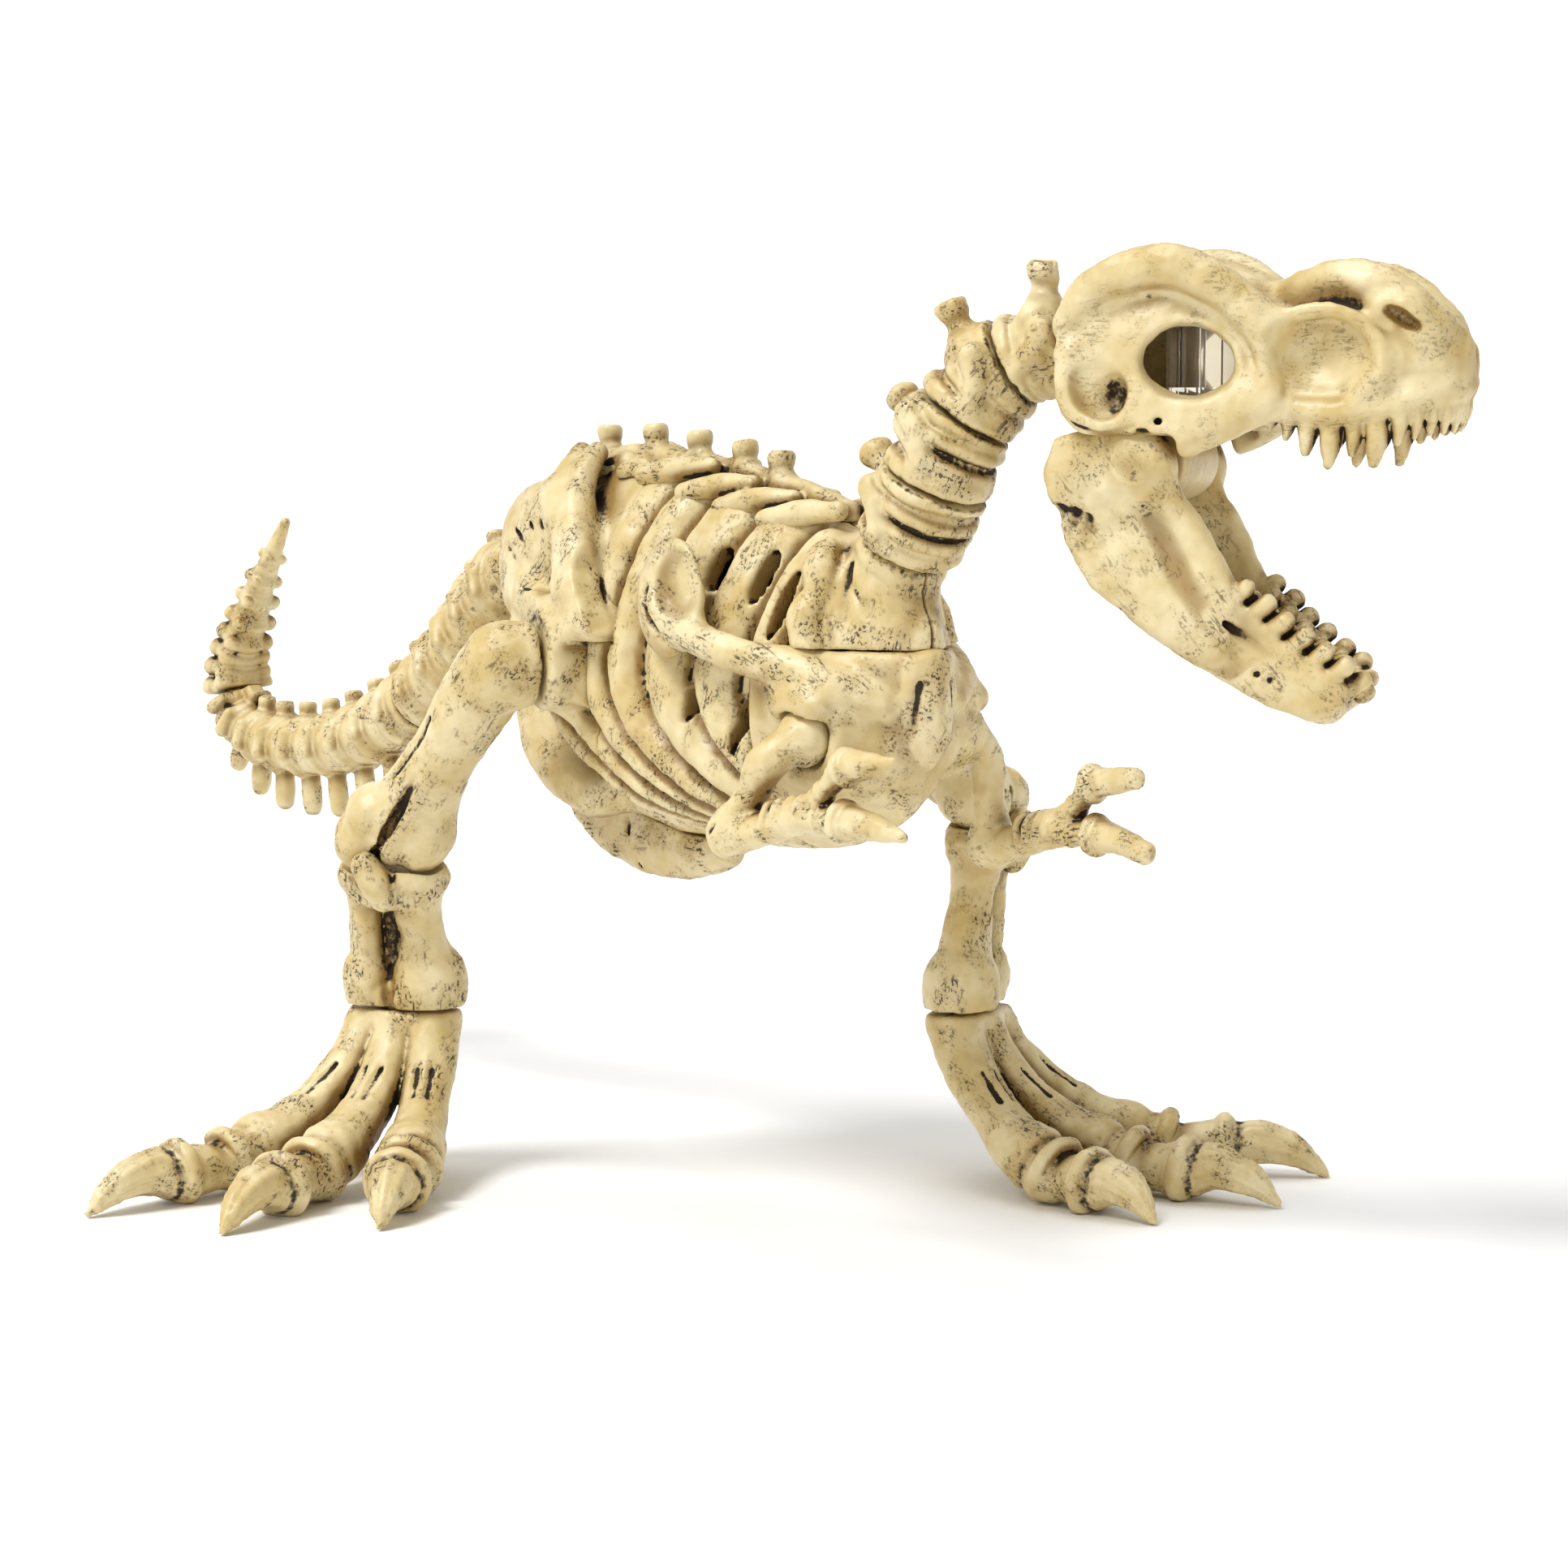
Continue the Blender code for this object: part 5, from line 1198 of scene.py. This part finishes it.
FOOT_YAW = {RIGHT: math.radians(-61), LEFT: math.radians(26)}
TOE_LENGTHS = (72, 85, 92)
TOE_SPLAY = math.radians(26)
FLOOR = (TO_SCULPT @ Vector((0, 0, 0))).z

for side in (RIGHT, LEFT):
    ankle = ANKLE[side]
    yaw = Matrix.Translation(ankle) @ Matrix.Rotation(FOOT_YAW[side], 4, "Z")
    face, wide = yaw.col[0].xyz, yaw.col[1].xyz
    top = ankle - UP * GAP / 2
    ends, starts = [], []
    for k, long in enumerate(TOE_LENGTHS):
        bend = Matrix.Rotation(side * (k - 1) * TOE_SPLAY, 4, "Z")
        tip = yaw @ bend @ Vector((long, 0, 0))
        ends.append(Vector((tip.x, tip.y, FLOOR + 1.2)))
        starts.append(yaw @ Vector((1.0 if k == 1 else 0.0, side * (k - 1) * 8.6, -5.0)))
    every, cuffs = ends + starts, []
    corner = [min(p[k] for p in every) - 14 for k in (0, 1)] + [FLOOR - 2]
    reach = [max(p[k] for p in every) + 14 for k in (0, 1)] + [ankle.z + 9]
    foot = Clay(corner, reach, 0.65)
    foot.add(knob(top - UP * 3, (8.4, 15.4, 5.0), yaw.to_3x3()), 1.0)
    foot.add(bone([top - UP * 4 - wide * 6, top - UP * 4 + wide * 6], [7.6, 7.6]), 2.0)
    for k in range(3):
        start, tip = starts[k], ends[k]
        flat = Vector((tip.x - start.x, tip.y - start.y, 0))
        way = flat.normalized()
        side_way = Vector((-way.y, way.x, 0))

        def at(share, height):
            return start + flat * share + UP * (FLOOR + height - start.z)

        foot.add(bone([start + UP * 2, start + flat * 0.08 - UP * 9, start + flat * 0.20 - UP * 18,
                       at(0.33, 13.5), at(0.42, 10.6)],
                      [7.2, 6.8, 6.4, 7.2, 8.6]), 0.5)
        foot.add(bone([at(0.50, 8.0), at(0.57, 7.2), at(0.64, 7.4), at(0.70, 7.4)], [8.0, 6.0, 6.4, 7.4]),
                 0.4)
        foot.add(ring(at(0.52, 8.8), way - UP * 0.45, 6.8, 2.3), 0.6)
        foot.add(ring(at(0.70, 7.6), way - UP * 0.1, 6.4, 2.4), 0.6)
        foot.add(bone([at(0.73, 7.2), at(0.80, 9.0), at(0.91, 6.6), tip], [6.0, 5.6, 4.0, 1.0], 8, 0.3), 0.2)
        foot.cut(ring(at(0.465, 9.4), way - UP * 0.5, 9.0, 1.3), 0.7)
        foot.cut(ring(at(0.745, 7.6), way - UP * 0.1, 7.4, 1.0), 0.4)
        cuffs.append(ring(at(0.745, 7.6), way - UP * 0.1, 6.6, 0.5))
        cuffs.append(ring(at(0.465, 9.4), way - UP * 0.5, 8.2, 0.3))
        for s in (RIGHT, LEFT):
            foot.cut(bone([start + flat * 0.08 - UP * 9 + side_way * 2.0 * s + way * 6.8,
                           at(0.27, 17) + side_way * 1.8 * s + UP * 6.2], [0.4, 0.7]), 1.8)
    foot.cut(beyond(ankle - UP * SEAM, UP), 0.5)
    foot.cut(beyond((0, 0, FLOOR), -UP), 0.4)
    foot.add(drum(top - UP * 3, top + UP * 6, PEG_RADIUS), 0.2)
    for k in (0, 1):
        between = (starts[k] + starts[k + 1]) / 2 + face * 4
        cuffs.append(bone([between, between + face * 4 - UP * 14], [0.8, 0.4]))
    cuffs.append(bone([ankle - wide * 13, ankle + wide * 13], [0.3, 0.3]))
    cast("foot_" + SIDE_NAME[side], foot, lumps=0.45, along=face - UP * 0.6, stains=cuffs)


# ----------------------------------------------------------------- tail
# Three mouldings that plug together.  Each is a string of ringed vertebrae
# with blunt spines above and paddle-shaped chevrons hanging below.

TAIL = (                # centre line along X and up, and the radius there
    (-84, 154, 9.0), (-101.5, 147, 10.5), (-116.5, 136, 10.2), (-131.5, 124, 9.8), (-149.5, 113, 9.4),
    (-169.5, 104, 9.0), (-191.5, 98, 8.6), (-213.5, 95, 8.2), (-235.5, 95, 7.8), (-251.5, 99, 7.4),
    (-258.5, 108, 7.0), (-257.5, 119, 6.2), (-249.5, 131, 5.2), (-239.5, 145, 3.6), (-226.5, 160, 1.6))
TAIL_SEAMS = (0, 4, 10, 14)
TAIL_PARTS = ("tail_base", "tail_middle", "tail_tip")
TAIL_PEGS = (PEG_RADIUS, 3.4, 3.4, 0)
TAIL_RINGS = (6, 9, 9)
TAIL_STEPS = 24         # how finely the centre line is drawn between two of its points
TAIL_SWELL = 1.18       # the rings stand this much proud of the core's radius
tail_line = smooth_line([(x, 0, z) for x, z, _ in TAIL], [r for _, _, r in TAIL], TAIL_STEPS)


def tail_spot(i):
    """A place along the tail, counted in points of its centre line: middle, direction, radius."""
    k = min(max(int(round(i * TAIL_STEPS)), 0), len(tail_line) - 1)
    along = Vector(tail_line[min(k + 1, len(tail_line) - 1)][:3]) - Vector(tail_line[max(k - 1, 0)][:3])
    return Vector(tail_line[k][:3]), along.normalized(), float(tail_line[k][3]) * TAIL_SWELL


for part, first, last, count, plug, socket in zip(
        TAIL_PARTS, TAIL_SEAMS, TAIL_SEAMS[1:], TAIL_RINGS, TAIL_PEGS, TAIL_PEGS[1:]):
    pitch = (last - first) / count
    spots = [tail_spot(first + pitch * k) for k in range(count + 1)]
    points = np.array([tuple(p) for p, _, _ in spots])
    tail = Clay(points.min(axis=0) - (20, 16, 20), points.max(axis=0) + (20, 16, 20), 0.6)
    tail.add(bone([p for p, _, _ in spots], [r * 0.84 for _, _, r in spots]), 0.8)
    clefts = []
    for k in range(count):
        place, along, radius = tail_spot(first + pitch * (k + 0.5))
        over = Vector((along.z, 0, -along.x))
        out = Vector((0, 1, 0))
        beaded = part == "tail_tip"
        thick = min(2.6, radius * 0.30)
        slant = along + over * 0.22
        if radius > 3.5:
            tail.add(ring(place, slant, radius - thick, thick), 0.7)
            turn = basis(along).col[2].xyz.to_track_quat("X", "Y").to_matrix()
            tail.add(knob(place, (radius * 0.42, radius * 0.97, radius * 0.97), turn), 0.8)
            if not beaded:
                tail.add(drum(place + over * radius * 0.7, place + over * (radius + 3.2), 2.5, 1.0, 2.8), 0.7)
        if part == "tail_middle" or (part == "tail_base" and k > 3):
            hang = 4.0 + 4.6 * math.sin(math.pi * min(1.0, (k + 2) / 10)) if part == "tail_middle" else 4.5
            tail.add(bone([place - over * radius * 0.6, place - over * (radius + hang * 0.5),
                           place - over * (radius + hang)], [2.6, 3.0, 2.7]), 0.6)
        for s in (RIGHT, LEFT):
            if beaded and radius > 2.5:
                for lift in (0.50, -0.42):
                    bead = place + out * s * radius * 0.78 + over * radius * lift
                    tail.add(knob(bead, radius * 0.40), 0.4)
            elif not beaded:
                pit = tail_spot(first + pitch * (k + 1))[0] + out * s * radius * 0.9 - over * radius * 0.35
                tail.cut(knob(pit, (1.5, 1.8, 1.8)), 0.7)
                clefts.append(knob(pit, (0.8, 1.2, 1.2)))
                tail.add(bone([place + out * s * radius * 0.85 + over * 4,
                               place + out * s * radius * 0.95 - over * 2],
                              [1.8, 2.2]), 1.0)
    start, run, _ = spots[0]
    run = TAIL_BACK if first == 0 else run
    tail.cut(beyond(start + run * SEAM, -run), 0.4)
    tail.add(drum(start + run * 2, start - run * PEG_LENGTH, plug), 0.2)
    if socket:
        end, leave, _ = spots[-1]
        tail.cut(beyond(end - leave * SEAM, leave), 0.4)
        tail.cut(drum(end - leave * (PEG_LENGTH + 1.5), end + leave * 2, socket + GAP))
    cast(part, tail, lumps=0.3, along=points[-1] - points[0], stains=clefts)


# ---------------------------------------------------- floor, light, camera
# A seamless matt white table in a bright studio, under two wide soft suns.

def table_white():
    """A matt white laminate sweep that lets the soft contact shadows show."""
    material = bpy.data.materials.new("matt_white_table")
    material.use_nodes = True
    tree = material.node_tree
    shader = tree.nodes["Principled BSDF"]
    shader.inputs["Roughness"].default_value = 0.6
    shader.inputs["Base Color"].default_value = linear("#F7F7F7")
    return material


TABLE_REACH = 6.0
WALL_LIGHT, CEILING_LIGHT = 1.05, 0.30
floor_mesh = bpy.data.meshes.new("studio_floor")
table_corners = [(-TABLE_REACH, -TABLE_REACH, 0), (TABLE_REACH, -TABLE_REACH, 0),
                 (TABLE_REACH, TABLE_REACH, 0), (-TABLE_REACH, TABLE_REACH, 0)]
floor_mesh.from_pydata(table_corners, [], [(0, 1, 2, 3)])
floor_mesh.materials.append(table_white())
studio_floor = bpy.data.objects.new("studio_floor", floor_mesh)
bpy.context.scene.collection.objects.link(studio_floor)


def studio_world():
    """A dim studio with a bright band of white walls all round, as high as the figure is seen."""
    world = bpy.data.worlds.new("studio")
    world.use_nodes = True
    tree = world.node_tree
    back = tree.nodes["Background"]
    back.inputs["Color"].default_value = (1, 1, 1, 1)
    way = add_node(tree, "TexCoord").outputs["Generated"]
    height = add_node(tree, "SeparateXYZ", {0: way}).outputs["Z"]
    power = add_node(tree, "MapRange", {
        "Value": height, "From Min": 0.22, "From Max": 0.42, "To Min": WALL_LIGHT, "To Max": CEILING_LIGHT})
    tree.links.new(power.outputs["Result"], back.inputs["Strength"])
    return world


bpy.context.scene.world = studio_world()


def soft_sun(name, azimuth, elevation, angle, power):
    """A wide soft light from a compass direction and height, the same all over the table."""
    light = bpy.data.lights.new(name, "SUN")
    light.energy = power
    light.angle = math.radians(angle)
    made = bpy.data.objects.new(name, light)
    a, e = math.radians(azimuth), math.radians(elevation)
    source = Vector((math.cos(e) * math.cos(a), math.cos(e) * math.sin(a), math.sin(e)))
    made.rotation_euler = source.to_track_quat("Z", "Y").to_euler()
    bpy.context.scene.collection.objects.link(made)


CAMERA_AZIMUTH = math.radians(54)
CAMERA_PITCH = math.radians(5.98)
CAMERA_PLACE = TO_FRAME @ Vector((731.8, -514.8, 195.5))
toward_camera = Vector((math.sin(CAMERA_AZIMUTH), -math.cos(CAMERA_AZIMUTH), 0))

soft_sun("key_light", -88, 56, 22, 1.9)
soft_sun("top_light", 170, 74, 40, 0.8)

camera = bpy.data.cameras.new("camera")
camera.sensor_width = 36.0
camera.lens = 83.85
camera.clip_start, camera.clip_end = 0.05, 30.0
camera_object = bpy.data.objects.new("camera", camera)
bpy.context.scene.collection.objects.link(camera_object)
look = -toward_camera * math.cos(CAMERA_PITCH) - UP * math.sin(CAMERA_PITCH)
camera_object.location = CAMERA_PLACE
camera_object.rotation_euler = look.to_track_quat("-Z", "Y").to_euler()
bpy.context.scene.camera = camera_object
bpy.context.scene.view_settings.view_transform = "Standard"
bpy.context.scene.view_settings.look = "Medium High Contrast"
